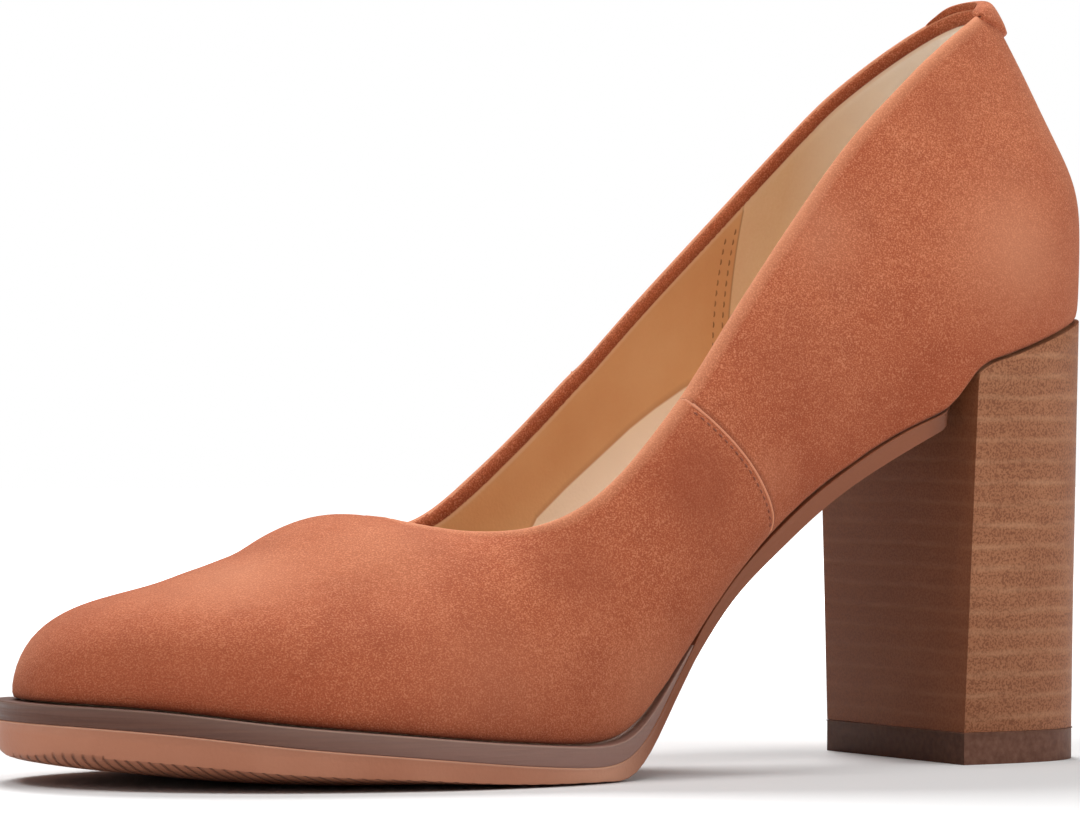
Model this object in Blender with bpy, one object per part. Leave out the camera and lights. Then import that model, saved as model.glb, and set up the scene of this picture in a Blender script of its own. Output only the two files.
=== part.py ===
"""Block heel pump, left shoe, standing empty on its sole.

Toe along +X, outer side towards +Y, +Z up, metres. The tables below are in
millimetres. In them s runs along the shoe from the back of the heel to the
toe, y across it and z up from the floor.
"""
import math

import bpy
import bmesh
import numpy as np

MM = 0.001

# Driving sizes, millimetres
GAP = 0.3            # air between two pieces that meet
WALL = 2.0           # upper with its lining
RIM_RISE = 0.7       # rounding of the collar edge
VAMP_STEP = 0.8      # vamp laid over the quarters
INSOLE_THICK = 2.0
BREAST = 34.0        # front face of the heel
TIP_HIGH = 6.0       # wearing piece
HEEL_FOOT_OUTER = 22.9
HEEL_FOOT_INNER = 25.0
HEEL_FOOT_BACK = -1.2
TAB_DROP = 7.5       # how far the leaf hangs down the back seam
TAB_THICK = 0.9
TAB_HALF = 13.5      # along the collar, each way from the back

# Fineness
RIBS_BACK = 26       # ribs on each quarter
RIBS_VAMP = 48       # ribs on the vamp
ROWS_UP = 13         # rows from sole to collar
ACROSS = 6

# Plan of the lasted upper where it meets the sole
PLAN = (
    # s, outer, inner
    (-2.1, 7.4, -7.4),
    (1.2, 14.8, -15.0),
    (8.6, 21.4, -21.8),
    (20.0, 25.8, -27.0),
    (34.0, 26.9, -28.6),
    (48.0, 25.2, -25.0),
    (64.0, 23.4, -18.6),
    (80.0, 22.8, -15.6),
    (94.0, 24.4, -15.8),
    (106.0, 27.6, -19.4),
    (118.0, 32.0, -25.4),
    (130.0, 35.8, -31.2),
    (144.0, 37.8, -35.2),
    (159.0, 37.8, -36.6),
    (174.0, 35.4, -35.8),
    (189.0, 30.6, -33.2),
    (202.0, 23.8, -29.2),
    (212.0, 15.8, -24.0),
    (219.0, 6.8, -16.8),
)
PLAN_BACK = (-2.8, 0.0)
PLAN_TIP = (221.9, -5.0)

# Height of that line above the floor
SEAT = (
    # s, z
    (-8.0, 88.8),
    (3.0, 86.7),
    (13.0, 83.7),
    (21.0, 81.2),
    (27.0, 79.4),
    (31.5, 78.0),
    (34.5, 75.6),
    (38.5, 70.4),
    (44.0, 67.2),
    (53.0, 63.0),
    (62.0, 57.6),
    (71.0, 51.4),
    (80.0, 43.9),
    (88.0, 36.5),
    (96.0, 27.3),
    (103.0, 19.0),
    (109.5, 12.4),
    (116.0, 8.3),
    (124.0, 7.0),
    (134.0, 7.4),
    (148.0, 8.4),
    (170.0, 10.4),
    (190.0, 12.3),
    (208.0, 14.5),
    (218.0, 15.1),
    (226.0, 15.3),
    (234.0, 15.4),
)

# Sole thickness, and how far the sole stands out past the upper
STACK = (
    # s, midsole, outsole, margin, how much the edge below is rounded up
    (30.0, 0.0, 0.9, 0.0, 0.0),
    (36.0, 0.0, 1.5, 0.0, 0.0),
    (46.0, 0.0, 2.9, 0.1, 0.0),
    (60.0, 0.0, 2.9, 0.2, 0.0),
    (76.0, 0.0, 3.0, 0.2, 0.0),
    (86.0, 0.0, 2.4, 0.2, 0.0),
    (94.0, 0.0, 2.1, 0.2, 0.0),
    (101.0, 0.5, 2.3, 0.3, 0.0),
    (108.0, 1.7, 2.9, 1.0, 0.1),
    (116.0, 3.2, 3.6, 2.0, 0.2),
    (126.0, 3.6, 3.8, 2.7, 0.4),
    (140.0, 3.6, 3.9, 2.9, 0.6),
    (152.0, 3.5, 4.0, 3.0, 1.2),
    (165.0, 3.5, 4.0, 3.0, 2.1),
    (180.0, 3.5, 4.3, 3.0, 2.6),
    (200.0, 3.5, 4.9, 3.0, 2.7),
    (212.0, 3.5, 5.0, 2.7, 2.6),
    (220.0, 3.3, 5.1, 2.4, 1.8),
    (226.0, 3.2, 5.0, 2.4, 0.5),
    (234.0, 3.2, 4.9, 2.4, 0.0),
)
MIDSOLE_BACK = 98.0

# Rows that every piece has at the same s: where the seat turns down, and the
# step under the back of the midsole
SHOULDER = (25.0, 27.0, 29.0, 31.0, 33.0, 34.0, 35.5, 37.5, 40.0, 43.0)
MARKS = SHOULDER + (96.4, 97.6)
ROUND_END = 6.0      # extra run where an outline goes round its end

# Edge of the foot opening, from the back round the outer side to the throat
# and home along the inner side
COLLAR = (
    # s, y, z
    (15.2, 0.0, 149.4),
    (17.0, 5.6, 149.0),
    (21.8, 10.0, 147.2),
    (29.0, 13.2, 143.4),
    (38.0, 16.4, 138.0),
    (47.4, 18.4, 130.7),
    (58.0, 20.0, 121.7),
    (70.0, 22.0, 109.2),
    (81.0, 24.0, 96.6),
    (92.0, 26.2, 83.4),
    (102.0, 28.0, 70.9),
    (111.0, 29.2, 61.5),
    (119.6, 29.0, 53.4),
    (128.6, 27.0, 48.0),
    (137.2, 21.6, 45.8),
    (143.6, 12.4, 46.0),
    (147.0, 2.0, 46.8),
    (145.8, -8.6, 47.0),
    (140.0, -17.0, 46.2),
    (131.4, -22.0, 46.8),
    (121.4, -23.2, 53.0),
    (110.0, -22.2, 63.0),
    (99.0, -20.4, 74.2),
    (87.6, -18.8, 86.7),
    (76.0, -17.8, 98.4),
    (64.0, -17.4, 110.0),
    (52.0, -17.2, 121.4),
    (41.0, -16.8, 131.4),
    (31.2, -15.2, 139.0),
    (22.6, -11.8, 145.2),
    (17.0, -6.4, 148.8),
)

# How the wall goes from the sole up to the collar. Each row is one rib: where
# it starts on the sole line and ends on the collar, how far it swells out,
# then five points as (share of the way in, share of the way up).
RIBS = (
    # side, sole s, collar s, swell, points
    (0, "back", "back", 0.0, (-.01, .14, -.01, .28, .03, .41, .27, .57, .60, .77)),
    (1, 12.0, 24.0, 0.4, (-.01, .14, .0, .28, .04, .41, .28, .58, .61, .78)),
    (1, 31.0, 47.0, 1.4, (.03, .15, .11, .32, .27, .49, .50, .66, .75, .83)),
    (1, 56.0, 72.0, 3.4, (.06, .15, .20, .32, .40, .50, .62, .67, .82, .84)),
    (1, 80.0, 102.0, 5.0, (.02, .14, .13, .29, .31, .48, .53, .67, .78, .85)),
    (1, 98.0, 112.0, 5.0, (.03, .15, .15, .31, .34, .49, .57, .67, .80, .84)),
    (1, 116.0, 121.0, 3.4, (.04, .16, .16, .33, .34, .51, .56, .68, .80, .85)),
    (1, 139.0, 134.0, 1.0, (-.03, .17, .02, .34, .16, .53, .40, .72, .70, .88)),
    (1, 164.0, 143.2, 0.5, (.0, .16, .07, .33, .25, .54, .50, .75, .76, .92)),
    (1, 191.0, 145.9, 0.2, (.01, .17, .08, .35, .25, .54, .50, .755, .76, .955)),
    (1, 211.0, 146.4, 0.0, (.01, .185, .072, .37, .30, .575, .57, .785, .80, 1.0)),
    (0, "tip", "throat", 0.0, (.005, .21, .072, .395, .335, .595, .59, .80, .80, 1.03)),
    (-1, 211.0, 145.5, 0.0, (.01, .195, .065, .375, .295, .58, .57, .79, .80, 1.015)),
    (-1, 190.0, 143.8, 0.2, (.01, .18, .08, .36, .25, .55, .50, .755, .76, .955)),
    (-1, 164.0, 139.6, 0.6, (.0, .16, .07, .34, .25, .55, .50, .76, .76, .92)),
    (-1, 140.0, 131.0, 1.2, (-.02, .16, .04, .34, .18, .53, .42, .71, .72, .87)),
    (-1, 117.0, 119.0, 3.6, (.04, .16, .16, .33, .34, .51, .56, .68, .80, .85)),
    (-1, 99.0, 109.0, 6.4, (.04, .15, .16, .31, .35, .49, .57, .67, .80, .84)),
    (-1, 80.0, 97.0, 7.0, (.04, .14, .14, .30, .32, .49, .54, .67, .78, .84)),
    (-1, 56.0, 70.0, 4.4, (.06, .15, .20, .32, .40, .50, .62, .67, .82, .84)),
    (-1, 31.0, 46.0, 1.6, (.03, .15, .11, .32, .27, .49, .50, .66, .75, .83)),
    (-1, 12.0, 25.0, 0.4, (-.01, .14, .0, .28, .04, .41, .28, .58, .61, .78)),
)
OUTER_SEAM = 4       # rows of the table above that carry the side seams
INNER_SEAM = 18

STUFFS = (
    # piece, colour, roughness
    ("upper", (0.50, 0.16, 0.075), 0.95),
    ("back_tab", (0.42, 0.13, 0.065), 0.95),
    ("insole", (0.60, 0.43, 0.26), 0.60),
    ("midsole", (0.145, 0.062, 0.045), 0.55),
    ("outsole", (0.44, 0.17, 0.09), 0.60),
    ("heel", (0.26, 0.115, 0.062), 0.45),
    ("heel_tip", (0.055, 0.026, 0.018), 0.60),
)


class Curve:
    """Cubic through the points of a table, natural ends."""

    def __init__(self, xs, ys):
        self.x = np.asarray(xs, float)
        self.y = np.asarray(ys, float)
        count = len(self.x)
        step = np.diff(self.x)
        left = np.eye(count)
        right = np.zeros(count)
        for i in range(1, count - 1):
            left[i, i - 1] = step[i - 1]
            left[i, i] = 2.0 * (step[i - 1] + step[i])
            left[i, i + 1] = step[i]
            rise = (self.y[i + 1] - self.y[i]) / step[i]
            run = (self.y[i] - self.y[i - 1]) / step[i - 1]
            right[i] = 6.0 * (rise - run)
        self.bend = np.linalg.solve(left, right)

    def __call__(self, at):
        at = np.clip(at, self.x[0], self.x[-1])
        i = np.clip(np.searchsorted(self.x, at) - 1, 0, len(self.x) - 2)
        step = self.x[i + 1] - self.x[i]
        a = (self.x[i + 1] - at) / step
        b = (at - self.x[i]) / step
        swing = (a ** 3 - a) * self.bend[i] + (b ** 3 - b) * self.bend[i + 1]
        return a * self.y[i] + b * self.y[i + 1] + swing * step ** 2 / 6.0


class Loop:
    """Closed smooth line through points, read by share of its length."""

    def __init__(self, points, keys=None):
        points = np.asarray(points, float)
        count = len(points)
        if keys is None:
            chord = np.linalg.norm(np.roll(points, -1, 0) - points, axis=1)
            keys = np.concatenate(([0.0], np.cumsum(chord)))
            keys = keys / keys[-1]
        else:
            keys = np.append(np.asarray(keys, float), 1.0)
        step = np.diff(keys)
        left = np.zeros((count, count))
        right = np.zeros((count, points.shape[1]))
        for i in range(count):
            before = step[i - 1]
            left[i, i - 1] += before
            left[i, i] += 2.0 * (before + step[i])
            left[i, (i + 1) % count] += step[i]
            rise = (points[(i + 1) % count] - points[i]) / step[i]
            run = (points[i] - points[i - 1]) / before
            right[i] = 6.0 * (rise - run)
        bend = np.linalg.solve(left, right)
        self.keys = keys
        self.points = np.vstack((points, points[:1]))
        self.bend = np.vstack((bend, bend[:1]))

    def __call__(self, share):
        share = np.mod(np.atleast_1d(np.asarray(share, float)), 1.0)
        i = np.clip(np.searchsorted(self.keys, share, "right") - 1, 0, len(self.keys) - 2)
        step = (self.keys[i + 1] - self.keys[i])[:, None]
        a = (self.keys[i + 1][:, None] - share[:, None]) / step
        b = 1.0 - a
        swing = (a ** 3 - a) * self.bend[i] + (b ** 3 - b) * self.bend[i + 1]
        return a * self.points[i] + b * self.points[i + 1] + swing * step ** 2 / 6.0

    def find(self, side, s, around):
        """Share at which the line crosses s on one side of the share around."""
        low, high = (0.0, around) if side > 0 else (around, 1.0)
        shares = np.linspace(low, high, 2001)
        line = self(np.clip(shares, 0.0, 0.999999))[:, 0] - s
        turn = np.nonzero(np.sign(line[:-1]) != np.sign(line[1:]))[0]
        spot = turn[0]
        part = line[spot] / (line[spot] - line[spot + 1])
        return float(shares[spot] + part * (shares[spot + 1] - shares[spot]))


SEAT_Z = Curve([row[0] for row in SEAT], [row[1] for row in SEAT])
MID_T = Curve([row[0] for row in STACK], [row[1] for row in STACK])
OUT_T = Curve([row[0] for row in STACK], [row[2] for row in STACK])
MARGIN = Curve([row[0] for row in STACK], [row[3] for row in STACK])
ROUNDED = Curve([row[0] for row in STACK], [row[4] for row in STACK])


def sole_line():
    """Plan of the upper's lower edge as a loop, back centre first."""
    outer = [(row[0], row[1]) for row in PLAN]
    inner = [(row[0], row[2]) for row in reversed(PLAN)]
    return Loop([PLAN_BACK] + outer + [PLAN_TIP] + inner)


FEATHER = sole_line()
COLLAR_LINE = Loop(COLLAR)


def steep(s):
    """How much longer an upright cut is than a square one, at s."""
    slope = (SEAT_Z(s + 0.5) - SEAT_Z(s - 0.5))
    return np.sqrt(1.0 + slope ** 2)


def sides_of(loop, low, high, pitch, margin):
    """Matching points on the outer and inner side, from low to high in s.

    Where low or high lies past the end of the loop the side runs right round
    to the loop's own end.
    """
    shares = np.linspace(0.0, 1.0, 4001)[:-1]
    line = loop(shares)
    tip = float(shares[np.argmax(line[:, 0])])
    normal = outward(loop, shares)
    line = line + normal * margin(line[:, 0])[:, None]
    outer = line[shares <= tip]
    inner = line[shares >= tip][::-1]
    inner = np.vstack((line[:1], inner))
    pair = []
    for side in (outer, inner):
        keep = side[(side[:, 0] >= low) & (side[:, 0] <= high)]
        pair.append(spread(keep, pitch))
    outer, inner = pair
    if low > 0.0:
        outer[0, 0] = inner[0, 0] = low
    else:
        middle = (outer[0] + inner[0]) * 0.5
        outer[0] = inner[0] = middle
    middle = (outer[-1] + inner[-1]) * 0.5
    outer[-1] = inner[-1] = middle
    return outer, inner


def spread(line, pitch):
    """Points along a plan line about a pitch apart, with rows at the marks."""
    length = np.concatenate(([0.0], np.cumsum(np.linalg.norm(np.diff(line, axis=0), axis=1))))
    start, end = line[0, 0], line[-1, 0]
    low, high = min(start, end), max(start, end)
    marks = sorted((s for s in MARKS if low + 0.8 < s < high - 0.2), reverse=end < start)
    order = np.argsort(line[:, 0])
    stops = [0.0] + list(np.interp(marks, line[order, 0], length[order])) + [length[-1]]
    runs = np.abs(np.diff([start] + list(marks) + [end]))
    spots = [0.0]
    for here, there, run in zip(stops[:-1], stops[1:], runs):
        if here == 0.0 or there == length[-1]:
            run += ROUND_END
        spots += list(np.linspace(here, there, max(1, round(run / pitch)) + 1)[1:])
    return np.stack([np.interp(spots, length, line[:, k]) for k in (0, 1)], 1)


def outward(loop, shares):
    """Level unit vectors pointing out of a loop run from back by the outer side."""
    ahead = loop(shares + 0.0005)[:, :2] - loop(shares - 0.0005)[:, :2]
    ahead /= np.linalg.norm(ahead, axis=1)[:, None]
    return np.stack((-ahead[:, 1], ahead[:, 0]), 1)


def rib_table():
    """Rib values as a loop over the share of the sole line."""
    shares = np.linspace(0.0, 1.0, 4001)[:-1]
    tip = float(shares[np.argmax(FEATHER(shares)[:, 0])])
    throat = float(shares[np.argmax(COLLAR_LINE(shares)[:, 0])])
    keys = []
    values = []
    for side, low, high, swell, points in RIBS:
        if low == "back":
            at, end = 0.0, 0.0
        elif low == "tip":
            at, end = tip, throat
        else:
            at = FEATHER.find(side, low, tip)
            end = COLLAR_LINE.find(side, high, throat)
        keys.append(at)
        values.append((end - at, swell) + points)
    return keys, Loop(values, keys)


RIB_KEYS, RIB_LINE = rib_table()


def rib(share, rows, lift):
    """Points of the outer face along one rib, spaced evenly, and the share ends."""
    value = RIB_LINE(share)[0]
    foot = FEATHER(share)[0]
    foot = np.array((foot[0], foot[1], float(SEAT_Z(foot[0]))))
    top = COLLAR_LINE(share + value[0])[0]
    out = np.append(outward(FEATHER, np.array([share]))[0], 0.0)
    inn = np.concatenate(([0.0], value[2::2], [1.0]))
    up = np.concatenate(([0.0], value[3::2], [1.0]))
    reach = np.linalg.norm((top - foot)[:2])
    rise = top[2] - foot[2]
    run = np.hypot(np.diff(inn) * reach, np.diff(up) * rise)
    key = np.concatenate(([0.0], np.cumsum(run)))
    fine = np.linspace(0.0, key[-1], 121)
    inn = Curve(key, inn)(fine)
    up = Curve(key, up)(fine)
    grown = np.clip(up, 0.0, 1.0)
    swell = value[1] * (4.0 * grown * (1.0 - grown)) ** 0.8
    points = foot + np.outer(inn, (top - foot) * (1.0, 1.0, 0.0))
    points = points + np.outer(up, (0.0, 0.0, rise)) + np.outer(swell, out)
    length = np.concatenate(([0.0], np.cumsum(np.linalg.norm(np.diff(points, axis=0), axis=1))))
    spots = length[-1] * rows
    return np.stack([np.interp(spots, length, points[:, k]) for k in range(3)], 1)


def unit(vectors):
    return vectors / np.maximum(np.linalg.norm(vectors, axis=-1, keepdims=True), 1e-9)


def grid_normals(grid):
    """Outward normals of a ring-shaped grid of points, ribs first."""
    along = np.roll(grid, -1, 0) - np.roll(grid, 1, 0)
    up = np.gradient(grid, axis=1)
    return unit(np.cross(up, along))


def new_object(name, points, faces):
    """Mesh object from millimetre points, welded, with its faces outward."""
    mesh = bpy.data.meshes.new(name)
    mesh.from_pydata([tuple(float(v) * MM for v in point) for point in points], [], faces)
    item = bpy.data.objects.new(name, mesh)
    bpy.context.scene.collection.objects.link(item)
    form = bmesh.new()
    form.from_mesh(mesh)
    bmesh.ops.remove_doubles(form, verts=form.verts, dist=0.02 * MM)
    bmesh.ops.dissolve_degenerate(form, edges=form.edges, dist=0.01 * MM)
    bmesh.ops.recalc_face_normals(form, faces=form.faces)
    if form.calc_volume(signed=True) < 0.0:
        bmesh.ops.reverse_faces(form, faces=form.faces)
    form.to_mesh(mesh)
    form.free()
    return item


def tube_faces(count, rings, close_rings):
    """Quads between rings that each hold count points, closed round."""
    faces = []
    last = rings if close_rings else rings - 1
    for ring in range(last):
        below = ring * count
        above = ((ring + 1) % rings) * count
        for i in range(count):
            j = (i + 1) % count
            faces.append((below + i, below + j, above + j, above + i))
    return faces


def quarter_ribs(side, back, seam):
    """Shares of one quarter's ribs from the back centre, marks of the seat kept."""
    shares = np.linspace(0.0, 1.0, 4001)
    tip = float(shares[np.argmax(FEATHER(np.clip(shares, 0.0, 0.9999))[:, 0])])
    marks = [FEATHER.find(side, s, tip) for s in SHOULDER]
    left = RIBS_BACK - len(marks)
    first = np.linspace(back, marks[0], left // 2 + 1)[:-1]
    last = np.linspace(marks[-1], seam, left - left // 2 + 1)[1:]
    return np.concatenate((first, marks, last))


def make_upper():
    """Vamp and quarters as one hollow wall, open above and below."""
    outer_seam = RIB_KEYS[OUTER_SEAM]
    inner_seam = RIB_KEYS[INNER_SEAM]
    edge = 0.0004
    back = quarter_ribs(1, 0.0, outer_seam - edge)
    vamp = np.linspace(outer_seam + edge, inner_seam - edge, RIBS_VAMP)
    home = quarter_ribs(-1, 1.0, inner_seam + edge)[::-1][:-1]
    shares = np.concatenate((back, vamp, home))
    raised = np.concatenate((np.zeros(len(back)), np.ones(len(vamp)), np.zeros(len(home))))
    rows = np.linspace(0.0, 1.0, ROWS_UP) ** 0.94
    face = np.array([rib(share, rows, 0.0) for share in shares])
    normal = grid_normals(face)
    out = np.concatenate((outward(FEATHER, shares), np.zeros((len(shares), 1))), 1)
    # square to the sole at the foot of the wall, square to the wall above
    turn = np.clip(np.arange(ROWS_UP) / 2.0, 0.0, 1.0)[None, :, None]
    push = unit(out[:, None, :] * (1.0 - turn) + normal * turn)
    grow = np.clip(0.35 + np.arange(ROWS_UP) / 3.0, 0.0, 1.0)[None, :, None]
    outer = face + push * raised[:, None, None] * grow * VAMP_STEP
    inner = face - push * WALL
    inner[:, 0, 2] = SEAT_Z(inner[:, 0, 0])
    outer[:, 0, 2] = SEAT_Z(outer[:, 0, 0])
    lift = unit(face[:, -1] - face[:, -2]) * RIM_RISE
    rim = (outer[:, -1] + inner[:, -1]) * 0.5 + lift
    rings = [outer[:, k] for k in range(ROWS_UP)] + [rim]
    rings += [inner[:, k] for k in reversed(range(ROWS_UP))]
    points = np.concatenate(rings)
    return new_object("upper", points, tube_faces(len(shares), len(rings), True))


def slab(name, top, bottom, levels, across, top_z=None, bottom_z=None):
    """Closed body between two outlines.

    top and bottom are pairs of matching side lines, outer then inner, as
    points; levels are shares from top to bottom for the rings of the wall.
    top_z and bottom_z give the height at s and share of the way across.
    """
    count = len(top[0])
    points = []
    faces = []
    index = {}

    def put(key, point):
        index[key] = len(points)
        points.append(point)

    for tag, pair, height in (("t", top, top_z), ("b", bottom, bottom_z)):
        for row in range(count):
            narrow = np.linalg.norm((pair[0][row] - pair[1][row])[:2]) < 0.5
            for col in range(across + 1):
                part = col / across
                point = pair[0][row] * (1.0 - part) + pair[1][row] * part
                if height is not None:
                    value = height(point[0], 0.0 if narrow else part)
                    point = np.array((point[0], point[1], float(value)))
                put((tag, row, col), point)
        for row in range(count - 1):
            for col in range(across):
                faces.append(tuple(index[(tag, r, c)] for r, c in (
                    (row, col), (row + 1, col), (row + 1, col + 1), (row, col + 1))))
    ring = [(row, 0) for row in range(count)]
    ring += [(count - 1, col) for col in range(1, across)]
    ring += [(row, across) for row in reversed(range(count))]
    ring += [(0, col) for col in reversed(range(1, across))]
    for k, level in enumerate(levels[1:-1], start=1):
        for row, col in ring:
            above = points[index[("t", row, col)]]
            below = points[index[("b", row, col)]]
            put((k, row, col), above * (1.0 - level) + below * level)
    tags = ["t"] + list(range(1, len(levels) - 1)) + ["b"]
    for upper_tag, lower_tag in zip(tags[:-1], tags[1:]):
        for (r0, c0), (r1, c1) in zip(ring, ring[1:] + ring[:1]):
            faces.append((index[(upper_tag, r0, c0)], index[(upper_tag, r1, c1)],
                          index[(lower_tag, r1, c1)], index[(lower_tag, r0, c0)]))
    return new_object(name, points, faces)


def raise_to(line, height):
    return np.column_stack((line, height(line[:, 0])))


def make_insole():
    """Board with its sock, inside the wall."""
    def foot(s):
        return np.full_like(s, -(WALL + GAP + 0.2))

    def edge(s):
        return np.full_like(s, -(WALL + GAP + 1.1))

    def low(s, part=0.0):
        return SEAT_Z(s)

    def high(s, part=0.0):
        return SEAT_Z(s) + INSOLE_THICK * steep(s)

    top = tuple(raise_to(side, high) for side in sides_of(FEATHER, -9.0, 400.0, 5.6, edge))
    bottom = tuple(raise_to(side, low) for side in sides_of(FEATHER, -9.0, 400.0, 5.6, foot))
    return slab("insole", top, bottom, (0.0, 1.0), ACROSS, high, low)


def make_midsole():
    """Band round the forepart, thinned away into the waist."""
    def high(s, part=0.0):
        return SEAT_Z(s) - GAP * steep(s)

    def low(s, part=0.0):
        return high(s) - np.maximum(MID_T(s), 0.35) * steep(s)

    pair = sides_of(FEATHER, MIDSOLE_BACK, 400.0, 4.2, MARGIN)
    top = tuple(raise_to(side, high) for side in pair)
    bottom = tuple(raise_to(side, low) for side in pair)
    return slab("midsole", top, bottom, (0.0, 1.0), ACROSS, high, low)


def outsole_top(s, part=0.0):
    """Under the midsole in the forepart, straight under the upper behind it."""
    cover = np.clip((s - 96.4) / 1.2, 0.0, 1.0)
    middle = (np.maximum(MID_T(s), 0.35) + GAP) * cover
    return SEAT_Z(s) - (GAP + middle) * steep(s)


def outsole_low(s):
    """Lower edge of the side: just off the floor at the ball, sprung at the toe."""
    stack = GAP * 2.0 + np.maximum(MID_T(s), 0.0) + OUT_T(s)
    return np.maximum(SEAT_Z(s) - stack * steep(s), np.maximum(ROUNDED(s), 0.0))


def outsole_under(s, part):
    """Underside across the sole: level in the middle, rounded up to its edges."""
    drop = np.maximum(ROUNDED(s), 0.0) * (1.0 - abs(2.0 * part - 1.0) ** 5)
    return np.maximum(outsole_low(s) - drop, 0.0)


def make_outsole():
    """Forepart sole and the thin strip up the arch to the heel."""
    pair = sides_of(FEATHER, BREAST + GAP, 400.0, 4.6, MARGIN)
    inset = sides_of(FEATHER, BREAST + GAP, 400.0, 4.6, lambda s: MARGIN(s) - 0.5)
    top = tuple(raise_to(side, outsole_top) for side in pair)
    bottom = tuple(raise_to(side, outsole_low) for side in inset)
    return slab("outsole", top, bottom, (0.0, 0.75, 1.0), 8, outsole_top, outsole_under)


def heel_foot(high, count):
    """Outline of the heel near the floor: flat front, rounded back corners."""
    sides = []
    for half, sign in ((HEEL_FOOT_OUTER, 1.0), (HEEL_FOOT_INNER, -1.0)):
        half += 0.004 * high
        turn = np.linspace(0.0, math.pi * 0.5, 91)
        across = sign * half * np.clip(np.cos(turn), 0.0, 1.0) ** 0.62
        back = BREAST - (BREAST - HEEL_FOOT_BACK) * np.sin(turn) ** 0.74
        line = np.stack((back, across), 1)
        length = np.concatenate(([0.0], np.cumsum(np.linalg.norm(np.diff(line, axis=0), axis=1))))
        spots = np.linspace(0.0, length[-1], count)
        side = np.stack([np.interp(spots, length, line[:, k]) for k in (0, 1)], 1)
        side[-1, 1] = 0.0
        sides.append(side)
    return tuple(sides)


def make_heel():
    """Stacked block from the wearing piece up to the seat."""
    def high(s, part=0.0):
        return SEAT_Z(s) - GAP * steep(s)

    outer, inner = sides_of(FEATHER, -9.0, BREAST, 0.4, lambda s: np.full_like(s, 0.15))
    trimmed = []
    for side in (outer, inner):
        side = side[::-1]
        side = np.vstack(((BREAST, side[1, 1]), side[1:]))
        trimmed.append(spread(side, 3.0))
    count = len(trimmed[0])
    top = tuple(raise_to(side, high) for side in trimmed)
    base = heel_foot(TIP_HIGH, count)
    level = TIP_HIGH + GAP
    bottom = tuple(np.column_stack((side, np.full(count, level))) for side in base)
    return slab("heel", top, bottom, (0.0, 0.08, 0.3, 0.6, 1.0), ACROSS, high, None)


def make_heel_tip():
    """Wearing piece on the floor."""
    count = 22
    high = heel_foot(TIP_HIGH, count)
    low = heel_foot(0.0, count)
    top = tuple(np.column_stack((side, np.full(count, TIP_HIGH))) for side in high)
    bottom = tuple(np.column_stack((side, np.zeros(count))) for side in low)
    return slab("heel_tip", top, bottom, (0.0, 1.0), ACROSS)


def make_back_tab():
    """Thin leaf folded over the collar and down the back seam."""
    count = 17
    shares = np.linspace(0.0, 1.0, 4001)[:-1]
    line = COLLAR_LINE(shares)
    whole = float(np.sum(np.linalg.norm(np.roll(line, -1, 0) - line, axis=1)))
    rows = []
    for k in range(count):
        part = -1.0 + 2.0 * k / (count - 1)
        spot = part * TAB_HALF / whole
        foot = spot
        for _ in range(20):
            foot = spot - RIB_LINE(foot)[0][0]
        depth = 0.6 + (TAB_DROP - 0.6) * (1.0 - abs(part) ** 1.6)
        wall = rib(foot, np.array((0.0, 0.2, 0.4, 0.6, 0.8, 1.0)), 0.0)
        length = float(np.sum(np.linalg.norm(np.diff(wall, axis=0), axis=1)))
        at = 1.0 - np.array((0.0, 0.25, 0.5, 0.75, 1.0)) * depth / length
        down = rib(foot, at, 0.0)
        beside = rib(foot + 0.002, at, 0.0) - rib(foot - 0.002, at, 0.0)
        normal = unit(np.cross(beside, down[0] - down[-1]))
        if np.dot(normal[0][:2], outward(COLLAR_LINE, np.array([spot]))[0]) < 0.0:
            normal = -normal
        rise = unit(down[0] - down[-1])
        crest = down[0] - normal[0] * WALL * 0.5 + rise * (RIM_RISE + GAP)
        slant = unit(normal[0] + rise) * GAP * 1.5
        under = [crest - normal[0] * WALL * 0.35, crest, down[0] + slant]
        under += [down[j] + normal[j] * GAP for j in range(1, 5)]
        push = [rise, unit(rise + normal[0] * 0.3), unit(rise + normal[0])]
        push += [normal[j] for j in range(1, 5)]
        swell = 0.3 + 0.7 * (1.0 - part ** 4)
        over = [u + n * TAB_THICK * swell for u, n in zip(under, push)]
        over[-1] = under[-1] + (over[-1] - under[-1]) * 0.7
        rows.append(under + over[::-1])
    size = len(rows[0])
    points = [point for row in rows for point in row]
    faces = tube_faces(size, count, False)
    half = size // 2
    for base in (0, (count - 1) * size):
        for j in range(half - 1):
            faces.append((base + j, base + j + 1, base + size - 2 - j, base + size - 1 - j))
    return new_object("back_tab", points, faces)


def dress(item, colour, rough):
    """Plain finish of one piece, and smooth shading with its true edges kept."""
    stuff = bpy.data.materials.new(item.name + "_stuff")
    stuff.use_nodes = True
    shader = stuff.node_tree.nodes["Principled BSDF"]
    shader.inputs["Base Color"].default_value = (*colour, 1.0)
    shader.inputs["Roughness"].default_value = rough
    item.data.materials.append(stuff)
    for face in item.data.polygons:
        face.use_smooth = True
    item.data.set_sharp_from_angle(angle=math.radians(38.0))


def centre(items):
    """Put the middle of the footprint over the origin and the floor at zero."""
    spots = np.array([vert.co for item in items for vert in item.data.vertices])
    low, high = spots.min(axis=0), spots.max(axis=0)
    shift = (-(low[0] + high[0]) / 2.0, -(low[1] + high[1]) / 2.0, -low[2])
    for item in items:
        for vert in item.data.vertices:
            vert.co.x += shift[0]
            vert.co.y += shift[1]
            vert.co.z += shift[2]


def main():
    for item in list(bpy.data.objects):
        bpy.data.objects.remove(item, do_unlink=True)
    items = [make_upper(), make_back_tab(), make_insole(), make_midsole(),
             make_outsole(), make_heel(), make_heel_tip()]
    centre(items)
    finish = {name: (colour, rough) for name, colour, rough in STUFFS}
    for item in items:
        dress(item, *finish[item.name])


main()
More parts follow.
